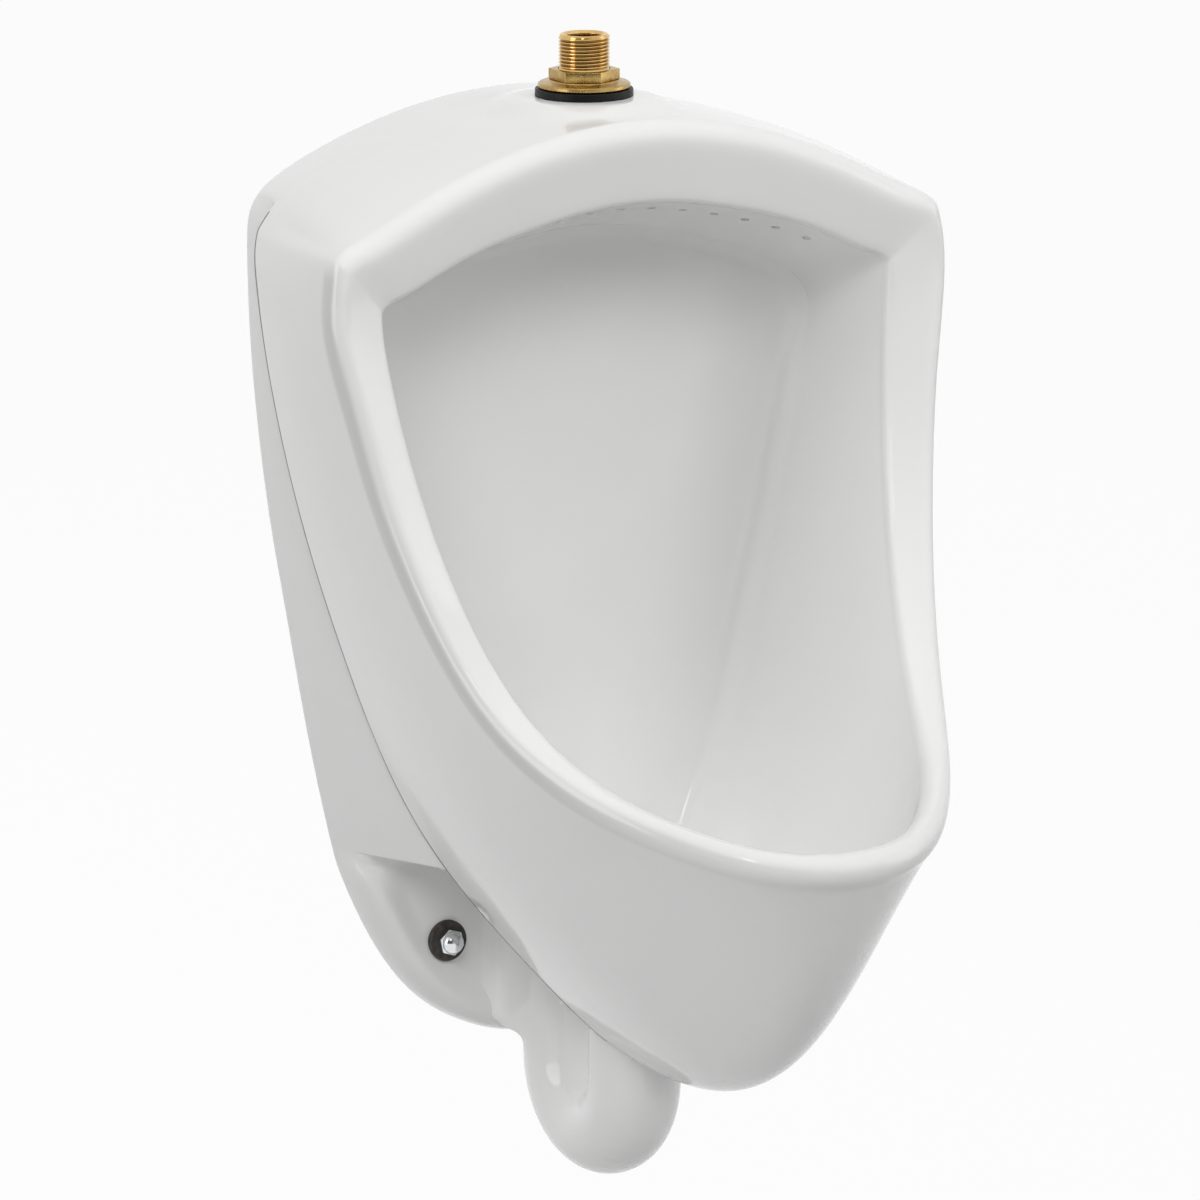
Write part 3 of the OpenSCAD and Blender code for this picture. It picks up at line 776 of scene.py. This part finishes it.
def fair(grid, first, last, rounds):
    # evens out the free part of the grid of points, without shrinking it
    rows = len(grid)
    for _ in range(rounds):
        for weight in (0.5, -0.52):
            old = copyOf(grid)
            for i in range(rows):
                up = [flip(p) for p in old[1]] if i == 0 else old[i - 1]
                down = [flip(p) for p in old[-2]] if i == rows - 1 else old[i + 1]
                for j in range(first, last):
                    here = old[i][j]
                    total, share = Vector(), 0.0
                    for near in (up[j], down[j], old[i][j - 1], old[i][j + 1]):
                        w = 1 / max((near - here).length, 0.5)
                        total, share = total + near * w, share + w
                    grid[i][j] = here + (total / share - here) * weight


def holdShape(grid, first):
    # moves the points out so that the smoothed surface runs through where they were drawn
    drawn = copyOf(grid)
    for _ in range(3):
        old = copyOf(grid)
        for i in range(1, len(grid)):
            share = ease(chinaBody["stations"][i] - chinaBody["holdFrom"])
            after = old[i + 1] if i + 1 < len(grid) else [flip(p) for p in old[-2]]
            for j in range(first, len(grid[0])):
                smoothed = (old[i - 1][j] + old[i][j] * 4 + after[j]) / 6
                grid[i][j] = old[i][j] + (drawn[i][j] - smoothed) * share


def raisePad(mesh, s):
    # the deck swells to a flat pad under the inlet gasket
    r, fade = s["padAcross"] / 2, s["padFade"]
    facesUp = [vert.normal.z > 0.5 for vert in mesh.vertices]
    for vert, up in zip(mesh.vertices, facesUp):
        x, y, z = vert.co / mm
        reach = math.hypot(x, y - s["padY"])
        if up and z > s["deckFrom"] and reach < r + fade:
            lift = 1 - ease((reach - r) / fade)
            vert.co.z = (z + (s["padTop"] - z) * lift) * mm
        vert.co.y = min(vert.co.y, 0)


def makeCasting(s):
    made = [profileAt(v) for v in s["stations"]]
    grid, marks = [points for points, _ in made], made[0][1]
    drawn = copyOf(grid)
    fair(grid, marks["skirt"], marks["lip"] - 1, s["fairing"])
    fair(grid, marks["bowl"], marks["crease"], s["fairing"])
    first = marks["skirt"]
    edgeAt = first - 3
    for row, asDrawn, v in zip(grid, drawn, s["stations"]):
        if v > 3.4:
            edge, away = row[edgeAt], (row[first] - row[edgeAt]).normalized()
            row[first - 2], row[first - 1] = (edge + away * distance for distance in s["edgeLoops"])
            # low down the skirt keeps the curve that it was drawn with
            for j in range(first - 2, marks["lip"]):
                row[j] = row[j].lerp(asDrawn[j], change(v, "asDrawn"))
    before = [row[edgeAt].copy() for row in grid]
    holdShape(grid, edgeAt)
    for row, edge in zip(grid, before):
        row[edgeAt - 1] += row[edgeAt] - edge
    bm = bmesh.new()
    previous = None
    for j in range(len(grid[0])):
        points = [row[j].copy() for row in grid]
        for end in (0, -1):
            points[end].x = 0
        _, edges = chain(bm, [p * mm for p in points])
        if previous:
            bmesh.ops.bridge_loops(bm, edges=previous + edges)
        previous = edges
    half = bm.verts[:] + bm.edges[:] + bm.faces[:]
    bmesh.ops.mirror(bm, geom=half, axis="X", merge_dist=1e-5)
    bmesh.ops.remove_doubles(bm, verts=bm.verts, dist=mergeWithin)
    piece = scratch("casting", bm)
    smooth = piece.modifiers.new("smooth", "SUBSURF")
    smooth.levels = smooth.render_levels = s["smoothLevels"]
    raisePad(settle(piece), s)
    return piece


castingPiece = makeCasting(chinaBody)
print("casting:", len(castingPiece.data.polygons), "faces")


# ways and seats cut into the casting, in millimetres
waterWays = {
    "holeAcross": 32, "deckLow": 424, "deckHigh": 464,
    "flushY": -112, "flushAcross": 4.6, "flushPitch": 18.5, "flushEachSide": 6,
    "chamberLow": 406, "chamberHigh": 24, "chamberHalf": 118, "chamberBack": -48, "chamberFront": -116,
    "seatZ": -21, "seatAcross": 47.4, "seatDeep": 12, "bore": 34,
    "recessRounds": (38, 15), "recessDeep": 16, "boltHole": 10.2,
}


def arch(x):
    # the hood's ceiling falls away to the sides
    return -0.00185 * x * x


def placed(middle, heading):
    # the matrix that stands a shape at a point, with its axis along a direction
    turn = Vector((0, 0, 1)).rotation_difference(heading).to_matrix().to_4x4()
    return Matrix.Translation(middle) @ turn


def cylinder(bm, start, end, radius, sides=48):
    start, end = Vector(start), Vector(end)
    bmesh.ops.create_cone(bm, cap_ends=True, segments=sides, radius1=radius, radius2=radius,
                          depth=(end - start).length, matrix=placed((start + end) / 2, end - start))


def box(bm, low, high):
    low, high = Vector(low), Vector(high)
    stretch = Matrix.Diagonal((*(high - low), 1))
    bmesh.ops.create_cube(bm, size=1, matrix=Matrix.Translation((low + high) / 2) @ stretch)


def capsule(big, small, gap, steps=10):
    # outline round a big circle with a small one on each side, joined by straight lines
    lean = math.acos((big - small) / gap)
    ends, turn = 2 * lean, math.pi - 2 * lean
    arcs = ((gap, small, -lean, ends), (0, big, lean, turn),
            (-gap, small, math.pi - lean, ends), (0, big, math.pi + lean, turn))
    points = []
    for centre, radius, first, sweep in arcs:
        for k in range(steps + 1):
            a = first + sweep * k / steps
            points.append((centre + radius * math.cos(a), radius * math.sin(a)))
    return points


def slab(bm, outline, pull):
    # a closed outline, filled and pulled out; returns the points it started from
    verts, edges = chain(bm, outline, True)
    face = bmesh.ops.contextual_create(bm, geom=edges)["faces"]
    made = bmesh.ops.extrude_face_region(bm, geom=face)["geom"]
    bmesh.ops.translate(bm, vec=pull, verts=[g for g in made if isinstance(g, bmesh.types.BMVert)])
    return verts


def cutBoltWays(piece, s):
    bolts = bmesh.new()
    for side in (-1, 1):
        x = side * boltX
        cylinder(bolts, (x, -10, 0), (x, -45, 0), s["boltHole"] / 2, 32)
    cutWith(piece, "boltWays", bolts)


def makeWaterWays(s):
    rods = bmesh.new()
    for i in range(-s["flushEachSide"], s["flushEachSide"] + 1):
        x = i * s["flushPitch"]
        z = s["chamberLow"] + arch(x)
        cylinder(rods, (x, s["flushY"], z - 26), (x, s["flushY"], z + 4), s["flushAcross"] / 2, 16)
    cutWith(castingPiece, "flushRods", rods)
    room = bmesh.new()
    half, low = s["chamberHalf"], s["chamberLow"]
    box(room, (-half, s["chamberFront"], low), (half, s["chamberBack"], low + s["chamberHigh"]))
    across = [e for e in room.edges if abs(e.verts[0].co.x - e.verts[1].co.x) > half]
    bmesh.ops.subdivide_edges(room, edges=across, cuts=15)
    for vert in room.verts:
        vert.co.z += arch(vert.co.x)
    cutWith(castingPiece, "chamber", room)
    hole = bmesh.new()
    cylinder(hole, (0, inletY, s["deckLow"]), (0, inletY, s["deckHigh"]), s["holeAcross"] / 2)
    cutWith(castingPiece, "deckHole", hole)
    seat = bmesh.new()
    wide, narrow = s["seatAcross"] / 2, s["bore"] / 2
    section = [(0, s["seatDeep"]), (wide, s["seatDeep"]), (wide, 0), (narrow + 1, 0), (narrow, -1),
               (narrow, -40), (0, -40)]
    lathe(seat, section, (0, drainY, s["seatZ"]), (0, 0, 1), 48)
    toMetres(seat)
    bmesh.ops.remove_doubles(seat, verts=seat.verts, dist=mergeWithin)
    cutAway(castingPiece, scratch("drainSeat", seat))
    recess = bmesh.new()
    outline = [Vector((x, 1, z)) for x, z in capsule(*s["recessRounds"], boltX)]
    slab(recess, outline, (0, -s["recessDeep"] - 1, 0))
    cutWith(castingPiece, "outletRecess", recess)
    cutBoltWays(castingPiece, s)
    way = bmesh.new()
    cylinder(way, (0, -10, 0), (0, -60, 0), s["bore"] / 2)
    cutWith(castingPiece, "outletWay", way)


makeWaterWays(waterWays)
print("water ways cut:", len(castingPiece.data.polygons), "faces")


def shadeAlong(mesh, name, line, first, last, full, none, strengthAt, count=1000):
    # a value on the mesh that is strong close to a line and fades with the distance from it
    tree = KDTree(2 * count)
    strengths = []
    for k in range(count):
        v = first + (last - first) * k / (count - 1)
        strengths.append(strengthAt(v))
        tree.insert(line(v) * mm, 2 * k)
        tree.insert(flip(line(v)) * mm, 2 * k + 1)
    tree.balance()
    shade = mesh.attributes.new(name, "FLOAT", "POINT")
    for vert, value in zip(mesh.vertices, shade.data):
        _, k, distance = tree.find(vert.co)
        value.value = strengths[k // 2] * (1 - ease((distance / mm - full) / (none - full)))


def shadeGlaze(mesh, s):
    # painted shade: a thin dark line along the skirt's sharp rear edge, and a darker band in the hollow
    # behind the lip
    shadeAlong(mesh, "paintedEdgeShade", lambda v: cornered("edge", v), 3.58, lastStation, *s["paintedEdgeShade"],
               lambda v: 1)
    shadeAlong(mesh, "paintedLipShade", lambda v: rimOuter(v, -14), cornerStation, 11.5, *s["paintedLipShade"],
               lambda v: change(v, "lipShadeGrows") * (1 - change(v, "lipShadeFades")))


def finishChina(piece, name):
    mesh = piece.data
    for face in mesh.polygons:
        face.use_smooth = True
    bpy.data.objects.remove(piece)
    return keepMesh(name, mesh, glazedChina, "china_body", 42)


shadeGlaze(castingPiece.data, chinaBody)
finishChina(castingPiece, "chinaCasting")


# hanging bar across the hollow back, notched for the two wall hangers
hangingBar = {
    "low": 288.3, "high": 322.3, "half": 140, "deep": 50, "round": 3.0,
    "hangerX": 95, "notch": 54, "plateDeep": 4.6, "hookDeep": (-21, -15), "hookHigh": 12, "spare": 6,
}


def makeBar(s):
    bm = bmesh.new()
    box(bm, (-s["half"], -s["deep"], s["low"]), (s["half"], -0.02, s["high"]))
    bevelEdges(bm, bm.edges[:], s["round"], 4)
    toMetres(bm)
    piece = scratch("bar", bm)
    notches = bmesh.new()
    back, front = s["hookDeep"]
    below = s["low"] - s["spare"]
    for side in (-1, 1):
        x0, x1 = side * s["hangerX"] - s["notch"] / 2, side * s["hangerX"] + s["notch"] / 2
        box(notches, (x0, -s["plateDeep"], below), (x1, 1, s["high"] + s["spare"]))
        box(notches, (x0, back, below), (x1, front, s["low"] + s["hookHigh"]))
    cutWith(piece, "notches", notches)
    finishChina(piece, "chinaHangingBar")


makeBar(hangingBar)
print("hanging bar made")


# trap cast below the bowl, with the block that joins it to the ears, softened as fired china
trapCasting = {
    "tube": 24.3, "bore": 17, "frontY": drainY, "rearY": -59, "bendZ": -58, "legTop": -27,
    "web": 15.5, "webLow": 20, "cove": 11, "dish": -24.1, "dishStep": 7, "blockLow": -50.5, "blockHigh": 14,
    "slope": 0.75, "voxel": 1.5, "softening": 12, "elbow": 20, "boreTop": 4,
}


def sweep(bm, path, radius, sides):
    previous = None
    for i, p in enumerate(path):
        ahead = (path[min(i + 1, len(path) - 1)] - path[max(i - 1, 0)]).normalized()
        last = i in (0, len(path) - 1)
        ring = bmesh.ops.create_circle(bm, segments=sides, radius=radius, cap_ends=last,
                                       matrix=placed(p, ahead))["verts"]
        edges = edgesOf(ring)
        if previous:
            bmesh.ops.bridge_loops(bm, edges=previous + edges)
        previous = edges


def bendPath(s, step):
    # middle line of the trap's bend, as depth and height
    middle, r = (s["frontY"] + s["rearY"]) / 2, (s["rearY"] - s["frontY"]) / 2
    return [(middle - r * cosine, s["bendZ"] - r * sine) for cosine, sine in arcOf(0, 181, step)]


def borePath(s):
    # middle line of the way through the trap: from the drain, round the bend, to the wall
    y0, y1, r, top = s["frontY"], s["rearY"], s["elbow"], s["boreTop"]
    points = [(y0, top), (y0, (top + s["bendZ"]) / 2)] + bendPath(s, 12) + [(y1, -r - 12)]
    points += [(y1 + r - r * cosine, -r + r * sine) for cosine, sine in arcOf(0, 91, 15)]
    points += [((y1 + r + 1) / 2, 0), (1, 0)]
    return [Vector((0, y, z)) for y, z in points]


def addBlock(bm, s):
    # block as wide as the tube, back to the ears, with a cove on each side that runs out into their dish
    half, cove = s["tube"] - 0.2, s["cove"]
    points = [(half, s["rearY"])]
    points += [(half + cove * (1 - cosine), s["dish"] - cove * (1 - sine))
               for cosine, sine in arcOf(0, 91, 15)]
    outer = half + cove + s["dishStep"]
    points += [(outer, s["dish"] + 0.25), (outer, -17)]
    outline = points + [(-x, y) for x, y in reversed(points)]
    rise = (0, 0, s["blockHigh"] - s["blockLow"])
    for vert in slab(bm, [Vector((x, y, s["blockLow"])) for x, y in outline], rise):
        vert.co.z += max(0, abs(vert.co.x) - half) * s["slope"]


def makeTrap(s):
    bm = bmesh.new()
    y0, y1, z = s["frontY"], s["rearY"], s["bendZ"]
    cylinder(bm, (0, y0, s["legTop"]), (0, y0, z - 1), s["tube"])
    cylinder(bm, (0, y1, 0), (0, y1, z - 1), s["tube"])
    bmesh.ops.create_uvsphere(bm, u_segments=48, v_segments=24, radius=s["tube"],
                              matrix=Matrix.Translation((0, y1, 0)))
    cylinder(bm, (0, -17, 0), (0, y1, 0), s["tube"])
    sweep(bm, [Vector((0, y, z)) for y, z in bendPath(s, 10)], s["tube"], 48)
    box(bm, (-s["web"], y0, z - s["webLow"]), (s["web"], y1, s["legTop"]))
    addBlock(bm, s)
    toMetres(bm)
    piece = scratch("trap", bm)
    fuse = piece.modifiers.new("fuse", "REMESH")
    fuse.mode = "VOXEL"
    fuse.voxel_size = s["voxel"] * mm
    settle(piece)
    bm = bmesh.new()
    bm.from_mesh(piece.data)
    for _ in range(s["softening"]):
        bmesh.ops.smooth_vert(bm, verts=bm.verts, factor=0.5,
                              use_axis_x=True, use_axis_y=True, use_axis_z=True)
    bm.to_mesh(piece.data)
    bm.free()
    ways = bmesh.new()
    sweep(ways, borePath(s), s["bore"], 40)
    cutWith(piece, "trapWay", ways)
    cutBoltWays(piece, waterWays)
    return finishChina(piece, "chinaTrap")


trapPiece = makeTrap(trapCasting)
print("trap:", len(trapPiece.data.polygons), "faces")


# inlet fittings: heights are above the outlet's centre, in millimetres
spud = {
    "y": inletY, "across": 26.3, "bore": 19.2, "low": 423.5, "top": 482.0,
    "flange": 42.0, "flangeThick": 3.0,
    "threadFrom": 464.4, "pitch": 1.8, "ridge": 0.95, "turns": 9, "ridgeSteps": 56,
}


def threadRidge(bm, centre, root, crest, pitch, turns, steps):
    # one helical ridge round the tube, fading into it at both ends
    foot = root - 0.4
    section = [(foot, -0.5 * pitch), (crest, -0.12 * pitch), (crest, 0.12 * pitch), (foot, 0.5 * pitch)]
    points = [Vector(centre) + Vector((r, 0, h)) for r, h in section]
    verts, edges = chain(bm, points, True)
    bmesh.ops.spin(bm, geom=verts + edges, cent=centre, axis=(0, 0, 1), dvec=(0, 0, pitch / steps),
                   angle=2 * math.pi * turns, steps=turns * steps, use_merge=False, use_duplicate=False)
    bmesh.ops.holes_fill(bm, edges=[e for e in bm.edges if e.is_boundary], sides=8)


def makeSpud(s):
    r, b = s["across"] / 2, s["bore"] / 2
    low, top, thread = s["low"], s["top"], s["threadFrom"]
    root, neck, flange, over = r - s["ridge"], r - 0.05, s["flange"] / 2, low + s["flangeThick"]
    bm = bmesh.new()
    # radius, height and round of each corner
    section = [(b, low, 0.6), (flange, low, 0.8), (flange, over, 0.8), (neck, over, 0.5),
               (neck, thread - 0.6, 0.2), (root, thread + 0.6, 0.2), (root, top - 2.4, 0.2),
               (r - 0.25, top - 1.9, 0.4), (r - 0.9, top, 0.7), (b + 1.1, top, 0.5), (b, top - 1.4, 0.4)]
    lathe(bm, rounded(section, 3), (0, s["y"], 0), (0, 0, 1), 96)
    ridge = bmesh.new()
    threadRidge(ridge, (0, s["y"], thread + 0.2), root, r, s["pitch"], s["turns"], s["ridgeSteps"])
    bm.from_mesh(meshOf("ridge", ridge))
    return keep("inletSpud", bm, turnedBrass, "inlet_spud")


lockNut = {"y": inletY, "low": 458.5, "high": 5.5, "flats": 31.75, "hole": 26.9, "turn": -2.0, "edge": 0.35}


def makeLockNut(s):
    bm = bmesh.new()
    corner = s["flats"] / math.sqrt(3)
    ends = (s["low"], s["low"] + s["high"])
    turn = Matrix.Rotation(math.radians(s["turn"]), 4, "Z")
    bmesh.ops.create_cone(bm, cap_ends=False, segments=6, radius1=corner, radius2=corner, depth=s["high"],
                          matrix=Matrix.Translation((0, s["y"], s["low"] + s["high"] / 2)) @ turn)
    bmesh.ops.recalc_face_normals(bm, faces=bm.faces)
    hexLoops = [[e for e in bm.edges if all(abs(v.co.z - z) < 0.01 for v in e.verts)] for z in ends]
    rings = []
    for z in ends:
        ring = bmesh.ops.create_circle(bm, segments=48, radius=s["hole"] / 2, cap_ends=False,
                                       matrix=Matrix.Translation((0, s["y"], z)))["verts"]
        rings.append(edgesOf(ring))
    for outer, inner in (*zip(hexLoops, rings), rings):
        bmesh.ops.bridge_loops(bm, edges=outer + inner)
    bmesh.ops.recalc_face_normals(bm, faces=bm.faces)
    middle = Vector((0, s["y"]))
    crisp = [e for e in bm.edges if len(e.link_faces) == 2 and e.calc_face_angle() > math.radians(40)
             and max((v.co.xy - middle).length for v in e.verts) > 15]
    bevelEdges(bm, crisp, s["edge"])
    return keep("lockNut", bm, castBrass, "spud_lock_nut", 30)


frictionRing = {"y": inletY, "low": 454.0, "high": 4.5, "across": 47.6, "hole": 26.9, "step": 37.0}


def makeFrictionRing(s):
    bm = bmesh.new()
    r, hole, step, z, top = s["across"] / 2, s["hole"] / 2, s["step"] / 2, s["low"], s["low"] + s["high"]
    section = [(hole, z, 0.3), (r - 0.8, z, 0.6), (r, z + 0.9, 0.7), (r, z + 2.4, 0.7),
               (r - 0.9, z + 3.0, 0.35), (r - 1.6, z + 2.9, 0.3), (step, z + 3.9, 0.4),
               (step - 0.6, top, 0.35), (hole, top, 0.3)]
    lathe(bm, rounded(section), (0, s["y"], 0), (0, 0, 1), 96)
    return keep("frictionRing", bm, castBrass, "spud_friction_ring")


deckGasket = {"y": inletY, "low": 450.0, "high": 4.0, "across": 50.8, "hole": 26.9}


def makeDeckGasket(s):
    bm = bmesh.new()
    r, hole, z, top = s["across"] / 2, s["hole"] / 2, s["low"], s["low"] + s["high"]
    section = [(hole, z, 0.3), (r, z, 0.5), (r - 0.2, top, 0.6), (hole, top, 0.3)]
    lathe(bm, rounded(section), (0, s["y"], 0), (0, 0, 1), 96)
    return keep("deckGasket", bm, blackRubber, "spud_gasket")


makeSpud(spud)
makeLockNut(lockNut)
makeFrictionRing(frictionRing)
makeDeckGasket(deckGasket)
print("inlet fittings made")


# lower bolts: washers and cap nuts
boltSet = {
    "x": boltX, "face": -24.0, "washer": 22.0, "hole": 8.4, "thick": 3.0,
    "flats": 12.7, "hexHigh": 4.4, "hexTurn": 12, "hexEdge": 0.45, "capHigh": 9.4, "shoulder": 0.35,
}


def makeWashers(s):
    bm = bmesh.new()
    r, hole, top = s["washer"] / 2, s["hole"] / 2, s["thick"]
    section = [(hole, 0, 0.2), (r, 0, 0.5), (r, top, 0.8), (hole, top, 0.3)]
    for side in (-1, 1):
        lathe(bm, rounded(section), (side * s["x"], s["face"], 0), (0, -1, 0), 64)
    return keep("boltWashers", bm, blackenedSteel, "bolt_washers")


def makeCapNuts(s):
    bm = bmesh.new()
    y, high = s["face"] - s["thick"], s["hexHigh"]
    r, domeRound = s["flats"] / math.sqrt(3), s["flats"] / 2 - s["shoulder"]
    turn = Matrix.Rotation(math.radians(90), 4, "X") @ Matrix.Rotation(math.radians(s["hexTurn"]), 4, "Z")
    dome = [(domeRound * cosine, high + (s["capHigh"] - high) * sine)
            for cosine, sine in arcOf(80, -1, -10)]
    profile = [(0, s["capHigh"]), *dome, (domeRound, high - 1.5), (0, high - 1.5)]
    for side in (-1, 1):
        place = Matrix.Translation((side * s["x"], y - high / 2, 0)) @ turn
        hexagon = bmesh.ops.create_cone(bm, cap_ends=True, segments=6, radius1=r, radius2=r, depth=high,
                                        matrix=place)["verts"]
        bevelEdges(bm, edgesOf(hexagon), s["hexEdge"])
        lathe(bm, profile, (side * s["x"], y, 0), (0, -1, 0), 48)
    return keep("capNuts", bm, brightChrome, "cap_nuts", 30)


makeWashers(boltSet)
makeCapNuts(boltSet)
print("lower bolts made")


# CAD nodes that stay get their finishes
nodeFinishes = {
    "spud_inner_gasket": greyRubber, "outlet_strainer": brushedStainless, "outlet_flange": castBrass,
    "outlet_gasket": greyRubber, "flange_bolts": zincPlated, "wall_hanger_left": zincPlated,
    "wall_hanger_right": zincPlated, "hanger_screws": zincPlated,
}
for node, finish in nodeFinishes.items():
    piece = bpy.data.objects[node]
    if not piece.data.materials:
        piece.data.materials.append(finish)
    for slotHere in piece.material_slots:
        slotHere.link = "OBJECT"
        slotHere.material = finish
print("carried-over nodes finished")


# floor, world and lamps: name, place, what it is aimed at, width and height in metres, and watts
studio = {
    "floorZ": -0.51, "floorHalf": 14, "floorTone": 0.6, "floorWhite": 0.96,
    "ambientTone": (0.97, 0.98, 1.0), "ambient": 0.01,
    # glaze and metal reflect white, except a dimmer room at the front left, below clearAbove
    "dim": 0.1, "clearAbove": (0.3, 0.8), "clearRight": (-0.35, 0.15), "clearBehind": (-0.3, 0),
    "mirrored": ("windowLamp", "sideLamp", "rightLamp"),
    "lamps": [
        ("keyLamp", (-2.2, -2.6, 2.6), (0, -0.1, 0.2), 1.8, 1.8, 58),
        ("windowLamp", (-2.0, -2.7, 2.5), (0, -0.1, 0.2), 0.3, 0.9, 5),
        ("topLamp", (0.4, -0.6, 3.0), (0, -0.1, 0.3), 1.8, 1.8, 35),
        ("fillLamp", (2.4, -3.0, 0.9), (0, -0.1, 0.2), 1.2, 1.6, 5),
        ("sideLamp", (-3.2, -0.4, 0.95), (0, -0.1, 0.25), 1.2, 2.8, 23),
        ("rightLamp", (2.9, -1.4, 0.8), (0, -0.1, 0.2), 1.6, 2.2, 10),
        ("frontLamp", (1.6, -2.6, 2.4), (0, -0.1, 0.3), 1.5, 1.5, 30),
        ("backLamp", (-0.9, 3.2, 0.4), (0, -0.1, 0.15), 2.0, 1.2, 45),
    ],
}


def shareOf(near, *kinds):
    # one for the named kinds of ray, none for the others
    path = newNode(near, "LightPath")
    share = path.outputs[kinds[0]]
    for kind in kinds[1:]:
        share = greaterOf(share, path.outputs[kind])
    return share


def mixShaders(share, first, second):
    node = newNode(share, "MixShader")
    for socket, value in zip(node.inputs, (share, first, second)):
        join(value, socket)
    return node.outputs[0]


def makeWorld(s):
    world = bpy.data.worlds.new("studioWorld")
    bpy.context.scene.world = world
    world.use_nodes = True
    worldOutput = world.node_tree.nodes["World Output"]
    bright = {"Color": (1, 1, 1, 1), "Strength": 1}
    faint = {"Color": (*s["ambientTone"], 1), "Strength": s["ambient"]}
    plain, white, room = (newNode(worldOutput, "Background", values) for values in (faint, bright, bright))
    axes = axesOf(newNode(worldOutput, "TexCoord").outputs["Generated"])
    clear = rangeOf(axes["Z"], *s["clearAbove"])
    for axis, span in (("X", s["clearRight"]), ("Y", s["clearBehind"])):
        clear = greaterOf(clear, rangeOf(axes[axis], *span))
    join(mixOf(clear, (s["dim"],) * 3, (1.0, 1.0, 1.0)), room.inputs["Color"])
    glossy = shareOf(worldOutput, "Is Glossy Ray")
    seen = shareOf(worldOutput, "Is Camera Ray", "Is Transmission Ray")
    lit = mixShaders(glossy, plain.outputs[0], room.outputs[0])
    join(mixShaders(seen, lit, white.outputs[0]), worldOutput.inputs["Surface"])


def makeFloor(s):
    bm = bmesh.new()
    bmesh.ops.create_grid(bm, x_segments=2, y_segments=2, size=s["floorHalf"])
    bmesh.ops.translate(bm, vec=(0, 0, s["floorZ"]), verts=bm.verts)
    floor = addObject("paleFloor", meshOf("paleFloor", bm))
    material, shader, _ = newFinish("paleFloor", (s["floorTone"],) * 3, 0.9)
    glow = newNode(shader, "Emission", {"Strength": 1})
    # white to the eye and in reflections, but not so much that the shadow is lost
    share = newNode(shader, "Math", {1: s["floorWhite"]})
    share.operation = "MULTIPLY"
    join(shareOf(shader, "Is Camera Ray", "Is Glossy Ray", "Is Transmission Ray"), share.inputs[0])
    mix = mixShaders(share.outputs[0], shader.outputs[0], glow.outputs[0])
    join(mix, material.node_tree.nodes["Material Output"].inputs["Surface"])
    floor.data.materials.append(material)


def makeLamps(s):
    for name, place, aim, width, height, power in s["lamps"]:
        lamp = bpy.data.lights.new(name, "AREA")
        lamp.shape = "RECTANGLE"
        lamp.size, lamp.size_y, lamp.energy = width, height, power
        holder = addObject(name, lamp)
        holder.visible_glossy = name in s["mirrored"]
        holder.location = place
        holder.rotation_euler = (Vector(aim) - Vector(place)).to_track_quat("-Z", "Y").to_euler()


makeWorld(studio)
makeFloor(studio)
makeLamps(studio)
bpy.context.scene.view_settings.view_transform = "Standard"
print("studio made")
